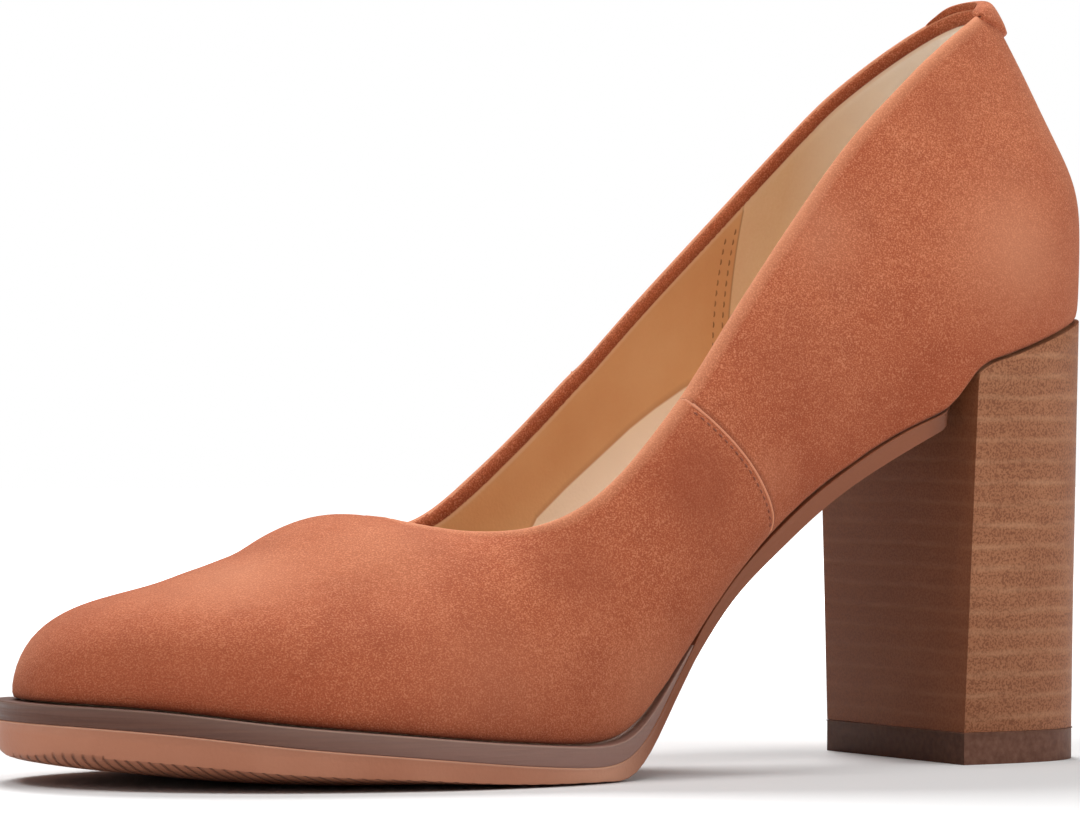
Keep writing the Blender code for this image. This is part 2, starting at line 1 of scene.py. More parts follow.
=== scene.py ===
"""Looks of the block heel pump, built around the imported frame.

The left shoe stands on a pale floor, toe along +X and outer side towards +Y.
Sizes are in metres unless a name says millimetres. Places on the shoe are
given as s (from the back of the heel to the toe), y and z, in millimetres, and
Layout turns them into the frame's own coordinates.
"""

import logging
import math
from dataclasses import dataclass, field
from enum import Enum
from typing import Callable, Iterable, Sequence

import bmesh
import bpy
import numpy as np
from mathutils import Matrix, Vector
from mathutils.bvhtree import BVHTree


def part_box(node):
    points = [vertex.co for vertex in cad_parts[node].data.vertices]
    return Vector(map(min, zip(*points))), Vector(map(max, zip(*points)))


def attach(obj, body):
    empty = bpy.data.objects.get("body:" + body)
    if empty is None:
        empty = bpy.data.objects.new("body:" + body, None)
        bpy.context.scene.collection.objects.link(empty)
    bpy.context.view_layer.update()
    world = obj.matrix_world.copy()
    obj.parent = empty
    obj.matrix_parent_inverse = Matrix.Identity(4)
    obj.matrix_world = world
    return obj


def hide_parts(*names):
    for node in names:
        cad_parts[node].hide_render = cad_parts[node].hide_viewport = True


LOG = logging.getLogger("pump")
MM = 0.001
UPWARD = Vector((0.0, 0.0, 1.0))
TURN = 2.0 * math.pi

Colour = tuple[float, float, float]
Socket = bpy.types.NodeSocket
Item = bpy.types.Object

DOUBLES = 0.000004
QUAD_TURN = math.radians(60.0)
SMOOTH_TURN = math.radians(50.0)
FAR_ROWS = 4000

# Places that the frame shares with the solids, in shoe millimetres
HEEL_FRONT = 34.0
TIP_OUTER = 22.924


class Side(Enum):
    """Which face of the upper's wall."""

    OUTSIDE = 1
    INSIDE = -1


class Flank(Enum):
    """The two long sides of the shoe, by the sign of y."""

    OUTER = 1
    INNER = -1

    @property
    def word(self) -> str:
        """Its name in the names of pieces."""
        return self.name.lower()


@dataclass(frozen=True)
class Layout:
    """Turns shoe millimetres into frame metres."""

    shift_x: float
    shift_y: float

    @staticmethod
    def from_frame() -> "Layout":
        """Works the shift out from the heel's front face and the wearing piece's side."""
        return Layout(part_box("heel")[1].x - HEEL_FRONT * MM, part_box("heel_tip")[1].y - TIP_OUTER * MM)

    def place(self, points: Sequence[Sequence[float]]) -> np.ndarray:
        """Frame coordinates of shoe points.

        Args:
            points: Rows of s, y, z in millimetres.

        Returns:
            Rows of x, y, z in metres.
        """
        return np.asarray(points, float).reshape(-1, 3) * MM + (self.shift_x, self.shift_y, 0.0)

    def shoe(self, points: np.ndarray) -> np.ndarray:
        """Shoe millimetres of frame points."""
        return (np.asarray(points, float) - (self.shift_x, self.shift_y, 0.0)) / MM


class Value:
    """A shader socket that adds, subtracts and multiplies as a number does."""

    def __init__(self, tree: bpy.types.NodeTree, socket: Socket) -> None:
        """Keeps the tree and the output socket."""
        self.tree = tree
        self.socket = socket

    def _math(self, kind: str, *others: "Value | float", first: "Value | float | None" = None) -> "Value":
        """Adds one Math node.

        Args:
            kind: The node's operation.
            others: The values after the first one.
            first: The first value where it isn't this one.

        Returns:
            The node's result.
        """
        node = self.tree.nodes.new("ShaderNodeMath")
        node.operation = kind
        for slot, value in enumerate((self if first is None else first,) + others):
            if isinstance(value, Value):
                self.tree.links.new(value.socket, node.inputs[slot])
            else:
                node.inputs[slot].default_value = float(value)
        return Value(self.tree, node.outputs[0])

    def __add__(self, other: "Value | float") -> "Value":
        """Sum."""
        return self._math("ADD", other)

    __radd__ = __add__

    def __sub__(self, other: "Value | float") -> "Value":
        """Difference."""
        return self._math("SUBTRACT", other)

    def __rsub__(self, other: "Value | float") -> "Value":
        """Difference from a number."""
        return self._math("SUBTRACT", self, first=other)

    def __mul__(self, other: "Value | float") -> "Value":
        """Product."""
        return self._math("MULTIPLY", other)

    __rmul__ = __mul__

    def __truediv__(self, other: "Value | float") -> "Value":
        """Quotient."""
        return self._math("DIVIDE", other)

    def power(self, other: float) -> "Value":
        """Raised to a power."""
        return self._math("POWER", other)

    def clamp(self) -> "Value":
        """Held between 0 and 1."""
        low = self._math("MAXIMUM", 0.0)
        return low._math("MINIMUM", 1.0)

    def sine(self) -> "Value":
        """Sine, in radians."""
        return self._math("SINE")

    def step(self, low: float, high: float) -> "Value":
        """Rises from 0 at low to 1 at high."""
        return ((self - low) / (high - low)).clamp()


class Surface:
    """One material and the nodes that make it."""

    def __init__(self, name: str) -> None:
        """Starts a material with only its shader."""
        self.material = bpy.data.materials.new(name)
        self.material.use_nodes = True
        self.tree = self.material.node_tree
        self.shader = self.tree.nodes["Principled BSDF"]

    def node(self, kind: str, settings: dict[str, object],
             sockets: dict[str | int, object]) -> bpy.types.Node:
        """Adds a node.

        Args:
            kind: The node's type.
            settings: Properties that are set before its sockets.
            sockets: Values or links by the input's name or number.

        Returns:
            The node.
        """
        made = self.tree.nodes.new(kind)
        for key, setting in settings.items():
            setattr(made, key, setting)
        for key, value in sockets.items():
            socket = made.inputs[key]
            if isinstance(value, (Value, Socket)):
                self.tree.links.new(getattr(value, "socket", value), socket)
            elif isinstance(value, tuple) and socket.type == "RGBA":
                socket.default_value = (*value, 1.0)
            else:
                socket.default_value = value
        return made

    def place(self) -> Socket:
        """Coordinates on the piece."""
        return self.node("ShaderNodeTexCoord", {}, {}).outputs["Object"]

    def axis(self, letter: str) -> Value:
        """One object coordinate, in metres."""
        parts = self.node("ShaderNodeSeparateXYZ", {}, {"Vector": self.place()})
        return Value(self.tree, parts.outputs[letter])

    def stretched(self, scale: Sequence[float]) -> Socket:
        """Coordinates scaled by axis."""
        return self.node("ShaderNodeMapping", {}, {"Vector": self.place(), "Scale": scale}).outputs["Vector"]

    def noise(self, scale: float, detail: float, where: Socket | None = None) -> Value:
        """Noise between 0 and 1, scale in waves a metre."""
        sockets = {"Vector": where or self.place(), "Scale": scale, "Detail": detail}
        return Value(self.tree, self.node("ShaderNodeTexNoise", {}, sockets).outputs[0])

    def marked(self, name: str) -> Value:
        """A number kept on the mesh under a name."""
        return Value(self.tree, self.node("ShaderNodeAttribute", {"attribute_name": name}, {}).outputs["Fac"])

    def mix(self, share: Value, low: Colour | Socket, high: Colour | Socket) -> Socket:
        """Blend of two colours.

        Args:
            share: How much of the second colour.
            low: First colour, as three numbers or a socket.
            high: Second colour.

        Returns:
            The colour socket.
        """
        return self.node("ShaderNodeMix", {"data_type": "RGBA"}, {0: share, 6: low, 7: high}).outputs[2]

    def colour(self, socket: Socket) -> None:
        """Sends a colour to the shader."""
        self.tree.links.new(socket, self.shader.inputs["Base Color"])

    def rough(self, value: Value) -> None:
        """Sends a roughness to the shader."""
        self.tree.links.new(value.socket, self.shader.inputs["Roughness"])

    def bump(self, height: Value, depth: float) -> None:
        """Small relief.

        Args:
            height: Height between 0 and 1.
            depth: Real depth of that height, in metres.
        """
        made = self.node("ShaderNodeBump", {}, {"Height": height, "Distance": depth, "Strength": 1.0})
        self.tree.links.new(made.outputs[0], self.shader.inputs["Normal"])

    def set(self, **values: float | Colour) -> None:
        """Sets shader values that are the same all over, underscores for spaces."""
        for key, value in values.items():
            whole = (*value, 1.0) if isinstance(value, tuple) else value
            self.shader.inputs[key.replace("_", " ")].default_value = whole


@dataclass(frozen=True)
class Finish:
    """One of the shoe's materials."""

    name: str

    def make(self) -> bpy.types.Material:
        """Builds the material."""
        surface = Surface(self.name)
        self.paint(surface)
        return surface.material

    def paint(self, surface: Surface) -> None:
        """Gives the surface its looks."""


@dataclass(frozen=True)
class Suede(Finish):
    """Brushed leather with a soft nap."""

    name: str = "suede"
    base: Colour = (0.430, 0.103, 0.042)
    light: Colour = (0.580, 0.185, 0.086)
    dark: Colour = (0.270, 0.052, 0.021)
    tips: Colour = (0.78, 0.34, 0.19)
    # lighter nap patches: partly brushed nap, partly a painted highlight
    brushed: Colour = (0.70, 0.29, 0.160)
    # painted highlight along the collar's rim
    edge_highlight: Colour = (0.76, 0.33, 0.18)
    # painted shade in the groove beside the vamp's raised edge
    shaded_groove: Colour = (0.17, 0.040, 0.018)
    # painted highlight on the crest of the vamp's folded edge
    fold_highlight: Colour = (0.80, 0.43, 0.29)
    # painted shade where the wall meets the sole
    tucked_shade: Colour = (0.20, 0.060, 0.030)
    sheen: Colour = (0.95, 0.62, 0.42)
    seams: bool = False

    def tone(self, surface: Surface) -> tuple[Socket, Value, Value]:
        """Colour of the nap.

        Args:
            surface: The material that is being built.

        Returns:
            The colour, its brush strokes and its fine grain.
        """
        cloud = surface.noise(38.0, 3.0).step(0.36, 0.66)
        brushed = surface.noise(90.0, 2.0).step(0.50, 0.72)
        strokes = surface.noise(1.0, 3.0, surface.stretched((330.0, 330.0, 620.0))).step(0.30, 0.72)
        grain = surface.noise(3300.0, 3.0)
        tone = surface.mix(cloud * 0.50 + strokes * 0.28, self.base, self.light)
        tone = surface.mix(brushed * 0.30, tone, self.dark)
        tone = surface.mix((0.54 - grain).step(0.0, 0.14) * 0.55, tone, self.dark)
        tone = surface.mix((grain - 0.53).step(0.0, 0.13) * 0.45, tone, self.tips)
        return tone, strokes, grain

    def paint(self, surface: Surface) -> None:
        """Gives the surface its looks."""
        tone, strokes, grain = self.tone(surface)
        if self.seams:
            ahead = surface.marked("ahead")
            # Where painted shade lies in the groove beside the vamp's raised edge
            shaded_groove = ahead.step(-1.3, -0.15) * (0.12 - ahead).step(0.0, 0.2)
            # Where the painted highlight lies on the crest of the vamp's fold
            edge = ahead.step(-0.05, 0.10) * (0.62 - ahead).step(0.0, 0.35)
            rim = (2.9 - surface.marked("rim_gap")).step(0.0, 2.2)
            # Painted shade within a millimetre of the sole
            feather_shade = (1.0 - surface.marked("sole_gap")).step(0.0, 0.8)
            # Nap patches: partly brushed nap, partly painted highlight and painted shade
            nap = surface.marked("nap")
            tone = surface.mix(nap.step(0.0, 1.0) * 0.65, tone, self.brushed)
            tone = surface.mix((0.0 - nap).step(0.0, 1.0) * 0.60, tone, self.dark)
            # Painted shade, deepening over the last 30 mm towards the sole
            lower = (31.0 - surface.marked("sole_gap")).step(0.0, 30.0)
            tone = surface.mix(lower * 0.38, tone, self.dark)
            # Painted highlight along the collar's rim
            tone = surface.mix(rim * 0.55, tone, self.edge_highlight)
            # Painted shade in the groove beside the vamp's raised edge
            tone = surface.mix(shaded_groove * 0.60, tone, self.shaded_groove)
            # Painted highlight on the crest of the vamp's fold
            tone = surface.mix(edge * 0.55, tone, self.fold_highlight)
            # Painted shade just above the sole
            tone = surface.mix(feather_shade * 0.45, tone, self.tucked_shade)
        surface.colour(tone)
        surface.rough(strokes * -0.06 + 0.95)
        surface.bump(grain * 0.75 + strokes * 0.25, 0.00026)
        surface.set(Sheen_Weight=0.22, Sheen_Roughness=0.45, Sheen_Tint=self.sheen, Specular_IOR_Level=0.18)


@dataclass(frozen=True)
class Lining(Finish):
    """Inside of the wall: suede turned in at the rim, tan leather ahead, heel grip behind."""

    name: str = "lining"
    turned_in: Suede = Suede(dark=(0.26, 0.062, 0.028))
    tan: Colour = (0.670, 0.340, 0.150)
    tan_light: Colour = (0.740, 0.425, 0.210)
    grip: Colour = (0.740, 0.490, 0.290)
    grip_light: Colour = (0.830, 0.610, 0.400)
    # painted light: the grip is painted paler towards the back
    brushed: Colour = (0.990, 0.900, 0.770)
    sock: Colour = (0.920, 0.750, 0.580)
    seam: Colour = (0.220, 0.095, 0.040)
    shade: Colour = (0.250, 0.110, 0.050)
    # painted shade on the turned-in suede under the rim
    tucked_shade: Colour = (0.130, 0.034, 0.018)
    # painted highlight on the lining's raised top edge
    lip_highlight: Colour = (0.760, 0.520, 0.340)

    def paint(self, surface: Surface) -> None:
        """Gives the surface its looks."""
        suede, _, grain = self.turned_in.tone(surface)
        cloud = surface.noise(48.0, 3.0).step(0.35, 0.68)
        pores = surface.noise(1700.0, 3.0)
        tan = surface.mix(cloud * 0.7 + pores * 0.2, self.tan, self.tan_light)
        nap = surface.mix(cloud * 0.4 + pores * 0.6, self.grip, self.grip_light)
        depth = surface.marked("behind")
        behind = depth.step(-0.1, 0.1)
        # Painted light: the grip grows paler towards the back
        nap = surface.mix(depth.step(11.0, 34.0), nap, self.brushed)
        leather = surface.mix(behind, tan, nap)
        seam = depth.step(-0.45, -0.05) * (0.25 - depth).step(0.0, 0.2)
        leather = surface.mix(seam * 0.45, leather, self.seam)
        edge = surface.marked("sock_edge")
        below = edge.step(-0.25, 0.25)
        leather = surface.mix(below, leather, self.sock)
        leather = surface.mix(edge.step(-1.6, -0.2) * (1.0 - below) * 0.30, leather, self.shade)
        gap = surface.marked("rim_gap")
        inside = gap.step(2.95, 3.15)
        # Painted highlight on the lining's raised top edge
        lip_highlight = inside * (3.85 - gap).step(0.0, 0.5)
        shadow = gap.step(1.5, 2.8) * (1.0 - inside)
        tone = surface.mix(shadow * 0.42, suede, self.tucked_shade)
        tone = surface.mix(inside, tone, leather)
        tone = surface.mix(lip_highlight * 0.55, tone, self.lip_highlight)
        surface.colour(tone)
        surface.rough(1.0 - inside * (1.0 - behind) * 0.48)
        surface.bump(pores * 0.5 + grain * (1.0 - inside), 0.00013)
        surface.set(Specular_IOR_Level=0.28)


@dataclass(frozen=True)
class SmoothLeather(Finish):
    """Leather of the sock, with fine pores."""

    name: str = "sock_leather"
    base: Colour = (0.90, 0.72, 0.54)
    light: Colour = (0.95, 0.80, 0.63)

    def paint(self, surface: Surface) -> None:
        """Gives the surface its looks."""
        cloud = surface.noise(70.0, 3.0).step(0.35, 0.68)
        grain = surface.noise(1900.0, 3.0)
        surface.colour(surface.mix(cloud * 0.6 + grain * 0.3, self.base, self.light))
        surface.rough(grain * 0.12 + 0.49)
        surface.bump(grain, 0.00006)
        surface.set(Specular_IOR_Level=0.35)


@dataclass(frozen=True)
class EdgeDye(Finish):
    """Dyed and waxed edge of the midsole, with a painted highlight along its top and a painted reflection
    that lightens it towards the arch.
    """

    name: str = "edge_dye"
    base: Colour = (0.082, 0.029, 0.018)
    light: Colour = (0.19, 0.082, 0.052)
    # painted reflection that lightens the edge towards the arch
    arch_reflection: Colour = (0.33, 0.185, 0.150)
    # painted highlight along the top edge
    top_highlight: Colour = (0.42, 0.27, 0.21)

    def paint(self, surface: Surface) -> None:
        """Gives the surface its looks."""
        streak = surface.noise(1.0, 4.0, surface.stretched((60.0, 60.0, 1500.0))).step(0.38, 0.70)
        grain = surface.noise(900.0, 3.0)
        tone = surface.mix(streak * 0.35 + grain * 0.18, self.base, self.light)
        # Painted reflection, lighter towards the arch
        tone = surface.mix(surface.marked("arch_reflection") * 0.75, tone, self.arch_reflection)
        # Painted highlight along the top edge
        surface.colour(surface.mix(surface.marked("edge_highlight") * 0.80, tone, self.top_highlight))
        surface.rough(streak * 0.14 + 0.38)
        surface.bump(streak * 0.6 + grain * 0.4, 0.00008)
        surface.set(Specular_IOR_Level=0.30)


@dataclass(frozen=True)
class GumRubber(Finish):
    """Warm rubber of the outsole, darker under the arch and finely ribbed below."""

    name: str = "gum_rubber"
    base: Colour = (0.43, 0.160, 0.086)
    light: Colour = (0.54, 0.235, 0.140)
    # used for painted shade on the underside and in the rib grooves
    dark: Colour = (0.16, 0.058, 0.032)
    under_arch: Colour = (0.265, 0.084, 0.037)
    bend: Colour = (0.66, 0.33, 0.21)
    # used for the painted highlight along the top edge
    pale: Colour = (0.64, 0.40, 0.28)
    # painted shade at the strip's end under the heel
    tucked_shade: Colour = (0.060, 0.022, 0.012)
    pitch: float = 0.0021

    def paint(self, surface: Surface) -> None:
        """Gives the surface its looks."""
        cloud = surface.noise(45.0, 3.0).step(0.34, 0.68)
        grain = surface.noise(1300.0, 3.0)
        turns = (surface.axis("X") * 0.6 - surface.axis("Y") * 0.8) * (TURN / self.pitch)
        shaded_groove = (turns.sine() * 0.5 + 0.5).power(6.0) * surface.marked("ribbed")
        tone = surface.mix(cloud * 0.5 + grain * 0.2, self.base, self.light)
        tone = surface.mix(surface.marked("bend") * 0.90, tone, self.bend)
        # Painted highlight along the top edge
        tone = surface.mix(surface.marked("edge_highlight") * 0.50, tone, self.pale)
        tone = surface.mix(surface.marked("arch"), tone, self.under_arch)
        # Painted shade at the strip's end under the heel
        tone = surface.mix(surface.marked("tucked_shade") * 0.75, tone, self.tucked_shade)
        # Painted shade on the underside
        tone = surface.mix(surface.marked("ribbed") * 0.28, tone, self.dark)
        # Painted shade in the rib grooves
        surface.colour(surface.mix(shaded_groove * 0.85, tone, self.dark))
        surface.rough(grain * 0.14 + 0.44)
        surface.bump(grain * 0.15 - shaded_groove, 0.00040)
        surface.set(Specular_IOR_Level=0.30)


@dataclass(frozen=True)
class StackedLeather(Finish):
    """Layers of leather, sanded, dyed and waxed: finely flecked, with pale joints."""

    name: str = "stacked_leather"
    layer: float = 0.00415
    first: float = 0.0084
    base: Colour = (0.275, 0.101, 0.047)
    light: Colour = (0.405, 0.172, 0.085)
    dark: Colour = (0.150, 0.050, 0.023)
    pale: Colour = (0.520, 0.265, 0.145)
    # painted shade on the heel's front face
    front: Colour = (0.140, 0.037, 0.011)

    def paint(self, surface: Surface) -> None:
        """Gives the surface its looks."""
        sway = surface.noise(30.0, 2.0) * 0.0005
        turns = (surface.axis("Z") - self.first + sway) * (TURN / self.layer)
        joint = (turns.sine() * 0.5 + 0.5).power(4.0)
        fleck = surface.noise(2300.0, 4.0)
        fibre = surface.noise(1.0, 3.0, surface.stretched((90.0, 90.0, 700.0))).step(0.36, 0.66)
        patch = surface.noise(75.0, 3.0).step(0.36, 0.68)
        paler = patch * 0.25 + fibre * 0.25 + fleck.step(0.46, 0.60) * 0.50
        tone = surface.mix(paler, self.base, self.light)
        tone = surface.mix((0.50 - fleck).step(0.0, 0.10) * 0.55, tone, self.dark)
        tone = surface.mix(joint * (fibre * 0.32 + 0.10), tone, self.pale)
        # Painted shade on the front face
        tone = surface.mix(surface.marked("front") * 0.72, tone, self.front)
        # Painted highlight down the front corners
        surface.colour(surface.mix(surface.marked("edge_highlight") * 0.45, tone, self.pale))
        surface.rough(fleck * 0.18 + 0.42)
        surface.bump(fleck * 0.6 - joint * 0.4, 0.00007)
        surface.set(Specular_IOR_Level=0.12)


@dataclass(frozen=True)
class TipRubber(Finish):
    """Hard dark rubber of the wearing piece."""

    name: str = "tip_rubber"
    base: Colour = (0.140, 0.060, 0.039)
    light: Colour = (0.215, 0.105, 0.070)
    # painted shade on the front face
    front: Colour = (0.020, 0.008, 0.004)

    def paint(self, surface: Surface) -> None:
        """Gives the surface its looks."""
        grain = surface.noise(800.0, 4.0)
        tone = surface.mix(grain.step(0.35, 0.75), self.base, self.light)
        # Painted shade on the front face
        surface.colour(surface.mix(surface.marked("front") * 0.55, tone, self.front))
        surface.rough(grain * 0.20 + 0.42)
        surface.bump(grain, 0.00008)
        surface.set(Specular_IOR_Level=0.12)


@dataclass(frozen=True)
class Thread(Finish):
    """Sewing thread."""

    base: Colour

    def paint(self, surface: Surface) -> None:
        """Gives the surface its looks."""
        grain = surface.noise(4000.0, 1.0)
        lighter = tuple(min(1.0, c * 1.35) for c in self.base)
        surface.colour(surface.mix(grain, self.base, lighter))
        surface.set(Roughness=0.70)


def unselect() -> None:
    """Leaves object mode with nothing selected."""
    if bpy.context.mode != "OBJECT":
        bpy.ops.object.mode_set(mode="OBJECT")
    bpy.ops.object.select_all(action="DESELECT")


def pick(item: Item) -> None:
    """Makes one object the only selected and active one."""
    unselect()
    item.select_set(True)
    bpy.context.view_layer.objects.active = item


def add_item(name: str, data: bpy.types.ID) -> Item:
    """Puts an object with its data in the scene."""
    item = bpy.data.objects.new(name, data)
    bpy.context.scene.collection.objects.link(item)
    return item


def smooth(values: np.ndarray, low: float, high: float) -> np.ndarray:
    """Soft step from 0 at low to 1 at high."""
    share = np.clip((np.asarray(values, float) - low) / (high - low), 0.0, 1.0)
    return share * share * (3.0 - 2.0 * share)


def unit(vectors: np.ndarray) -> np.ndarray:
    """Vectors made one long."""
    return vectors / np.maximum(np.linalg.norm(vectors, axis=-1, keepdims=True), 1e-12)


def between(values: np.ndarray, ends: tuple[float, float]) -> np.ndarray:
    """Whether each value lies between two."""
    return (values > ends[0]) & (values < ends[1])


def dot(one: np.ndarray, other: np.ndarray) -> np.ndarray:
    """Dot product, row by row."""
    return np.einsum("ij,ij->i", one, other)


def points_of(item: Item) -> np.ndarray:
    """Vertex places of a mesh object."""
    data = np.empty(len(item.data.vertices) * 3)
    item.data.vertices.foreach_get("co", data)
    return data.reshape(-1, 3)


def normals_of(item: Item) -> np.ndarray:
    """Vertex normals of a mesh object."""
    data = np.empty(len(item.data.vertices) * 3)
    item.data.vertex_normals.foreach_get("vector", data)
    return data.reshape(-1, 3)


def move_points(item: Item, points: np.ndarray) -> None:
    """Puts the vertices at new places."""
    item.data.vertices.foreach_set("co", np.ascontiguousarray(points).reshape(-1))
    item.data.update()


def mark(item: Item, name: str, values: np.ndarray) -> None:
    """Keeps a number for each vertex under a name."""
    layer = item.data.attributes.new(name, "FLOAT", "POINT")
    layer.data.foreach_set("value", np.asarray(values, np.float32))


def nearest(points: np.ndarray, line: np.ndarray) -> tuple[np.ndarray, np.ndarray]:
    """Distance of points from a line of points.

    Args:
        points: Places to measure.
        line: Closely spaced points.

    Returns:
        The distances, and the index of the nearest point of the line.
    """
    far = np.empty(len(points))
    which = np.empty(len(points), int)
    for start in range(0, len(points), FAR_ROWS):
        rows = slice(start, start + FAR_ROWS)
        gap = np.linalg.norm(points[rows, None, :] - line[None, :, :], axis=2)
        which[rows] = gap.argmin(1)
        far[rows] = gap.min(1)
    return far, which


def even(line: np.ndarray, pitch: float, closed: bool = False) -> np.ndarray:
    """A line of points resampled at an even pitch."""
    if closed:
        line = np.vstack((line, line[:1]))
    length = np.concatenate(([0.0], np.cumsum(np.linalg.norm(np.diff(line, axis=0), axis=1))))
    count = max(2, int(round(length[-1] / pitch)) + 1)
    spots = np.linspace(0.0, length[-1], count)
    if closed:
        spots = spots[:-1]
    return np.stack([np.interp(spots, length, line[:, k]) for k in range(3)], 1)


def soften(line: np.ndarray, rounds: int, closed: bool = True) -> np.ndarray:
    """A line of points with its small kinks taken out."""
    for _ in range(rounds):
        mean = (np.roll(line, 1, 0) + line * 2.0 + np.roll(line, -1, 0)) / 4.0
        if not closed:
            mean[0], mean[-1] = line[0], line[-1]
        line = mean
    return line


def height_of(line: Sequence[Sequence[float]], shoe: np.ndarray) -> np.ndarray:
    """Height that a line of s and z has at each shoe point."""
    places, heights = np.transpose(line)
    return np.interp(shoe[:, 0], places, heights)


def apply_modifier(item: Item, kind: str, **settings: object) -> None:
    """Adds a modifier with its settings and applies it."""
    made = item.modifiers.new(kind.lower(), kind)
    for key, value in settings.items():
        setattr(made, key, value)
    bpy.ops.object.modifier_apply(modifier=made.name)


def finer_copy(node: Item, name: str, levels: int,
               sharp: Callable[[np.ndarray, np.ndarray], np.ndarray]) -> Item:
    """A smooth, finer copy of a CAD node.

    Args:
        node: The CAD node.
        name: Name of the new piece.
        levels: Rounds of subdivision.
        sharp: Tells from the middles of the edges and the degrees that they
            turn which of them stay sharp.

    Returns:
        The new piece.
    """
    unselect()
    mesh = node.data.copy()
    mesh.name = name
    item = add_item(name, mesh)
    mesh.materials.clear()
    pick(item)
    bpy.ops.object.mode_set(mode="EDIT")
    bpy.ops.mesh.select_all(action="SELECT")
    bpy.ops.mesh.remove_doubles(threshold=DOUBLES)
    bpy.ops.mesh.tris_convert_to_quads(face_threshold=QUAD_TURN, shape_threshold=QUAD_TURN)
    bpy.ops.object.mode_set(mode="OBJECT")
    form = bmesh.new()
    form.from_mesh(mesh)
    middles = np.array([(edge.verts[0].co + edge.verts[1].co) / 2.0 for edge in form.edges])
    turns = np.degrees([edge.calc_face_angle(0.0) for edge in form.edges])
    crease = form.edges.layers.float.get("crease_edge") or form.edges.layers.float.new("crease_edge")
    for edge, keep in zip(form.edges, sharp(middles, turns)):
        edge[crease] = 1.0 if keep else 0.0
    form.to_mesh(mesh)
    form.free()
    apply_modifier(item, "SUBSURF", levels=levels, render_levels=levels)
    bpy.ops.object.shade_smooth()
    return item


def new_item(name: str, points: np.ndarray, faces: list[tuple[int, ...]]) -> Item:
    """A smooth piece made from points and faces, its faces outwards.

    Args:
        name: Name of the piece.
        points: Places of its vertices.
        faces: Vertex numbers of each face.

    Returns:
        The piece.
    """
    mesh = bpy.data.meshes.new(name)
    mesh.from_pydata([tuple(point) for point in points], [], faces)
    item = add_item(name, mesh)
    pick(item)
    bpy.ops.object.mode_set(mode="EDIT")
    bpy.ops.mesh.select_all(action="SELECT")
    bpy.ops.mesh.normals_make_consistent(inside=False)
    bpy.ops.object.mode_set(mode="OBJECT")
    bpy.ops.object.shade_smooth()
    return item


def tube(middle: np.ndarray, thick: np.ndarray, across: np.ndarray, rise: np.ndarray, sides: int,
         base: int = 0) -> tuple[np.ndarray, list[tuple[int, ...]]]:
    """Points and faces of a closed tube.

    Args:
        middle: Points of its middle.
        thick: Radius at each of them.
        across: One direction square to it, at each of them.
        rise: The other direction.
        sides: Faces round it.
        base: Number of its first vertex.

    Returns:
        The points, and the faces with both ends closed.
    """
    turn = np.linspace(0.0, TURN, sides, endpoint=False)
    sweep = np.cos(turn)[None, :, None] * across[:, None, :] + np.sin(turn)[None, :, None] * rise[:, None, :]
    ring = middle[:, None, :] + thick[:, None, None] * sweep
    faces = []
    for start in range(base, base + (len(middle) - 1) * sides, sides):
        for k in range(sides):
            m = (k + 1) % sides
            faces.append((start + k, start + m, start + sides + m, start + sides + k))
    last = base + (len(middle) - 1) * sides
    faces.append(tuple(base + k for k in reversed(range(sides))))
    faces.append(tuple(last + k for k in range(sides)))
    return ring.reshape(-1, 3), faces


def cord(name: str, line: np.ndarray, radius: float) -> Item:
    """A round cord of mesh along a line, narrowed at both ends.

    Args:
        name: Name of the piece.
        line: Points of its middle.
        radius: Half its width.

    Returns:
        The piece.
    """
    ahead = np.roll(line, -1, 0) - np.roll(line, 1, 0)
    ahead[0] = line[1] - line[0]
    ahead[-1] = line[-1] - line[-2]
    ahead = unit(ahead)
    across = unit(np.cross(np.array(UPWARD), ahead))
    thick = np.full(len(line), radius)
    thick[[0, -1]] *= 0.35
    return new_item(name, *tube(line, thick, across, unit(np.cross(ahead, across)), 8))


@dataclass(frozen=True)
class Stitch:
    """Sizes of a stitch, in millimetres: from one to the next, its length, half its thickness."""

    pitch: float
    long: float
    thick: float


def stitches(name: str, line: np.ndarray, normal: np.ndarray, stitch: Stitch) -> Item:
    """A row of stitches that lie on a surface.

    Args:
        name: Name of the piece.
        line: Points on the surface, a fraction of a millimetre apart.
        normal: Outward direction at each point.
        stitch: Sizes of its stitches.

    Returns:
        The piece, one mesh for the row.
    """
    run = np.concatenate(([0.0], np.cumsum(np.linalg.norm(np.diff(line, axis=0), axis=1))))
    pitch, length, radius = stitch.pitch * MM, stitch.long * MM, stitch.thick * MM
    starts = np.arange(pitch * 0.5, run[-1] - length, pitch)
    sides = 6
    bends = np.array((0.0, 0.25, 0.5, 0.75, 1.0))
    lifts = np.array((-0.6, 0.35, 0.7, 0.35, -0.6)) * radius
    thick = np.array((0.6, 1.0, 1.0, 1.0, 0.6)) * radius
    points: list[np.ndarray] = []
    faces: list[tuple[int, ...]] = []
    for start in starts:
        spots = start + bends * length
        middle = np.stack([np.interp(spots, run, line[:, k]) for k in range(3)], 1)
        out = unit(np.stack([np.interp(spots, run, normal[:, k]) for k in range(3)], 1))
        middle = middle + out * lifts[:, None]
        across = unit(np.cross(out, unit(np.gradient(middle, axis=0))))
        spots, sewn = tube(middle, thick, across, out, sides, len(points) * len(bends) * sides)
        points.append(spots)
        faces.extend(sewn)
    return new_item(name, np.concatenate(points), faces)


def finish_piece(item: Item, stuff: bpy.types.Material,
                 replaces: Iterable[str] = ()) -> None:
    """Gives a piece its material and its place in the part.

    Args:
        item: The piece.
        stuff: Its material.
        replaces: CAD nodes that it stands for.
    """
    if not item.data.materials:
        item.data.materials.append(stuff)
    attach(item, "root")
    if replaces:
        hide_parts(*replaces)
    LOG.info("%s: %d faces", item.name, len(item.data.polygons))


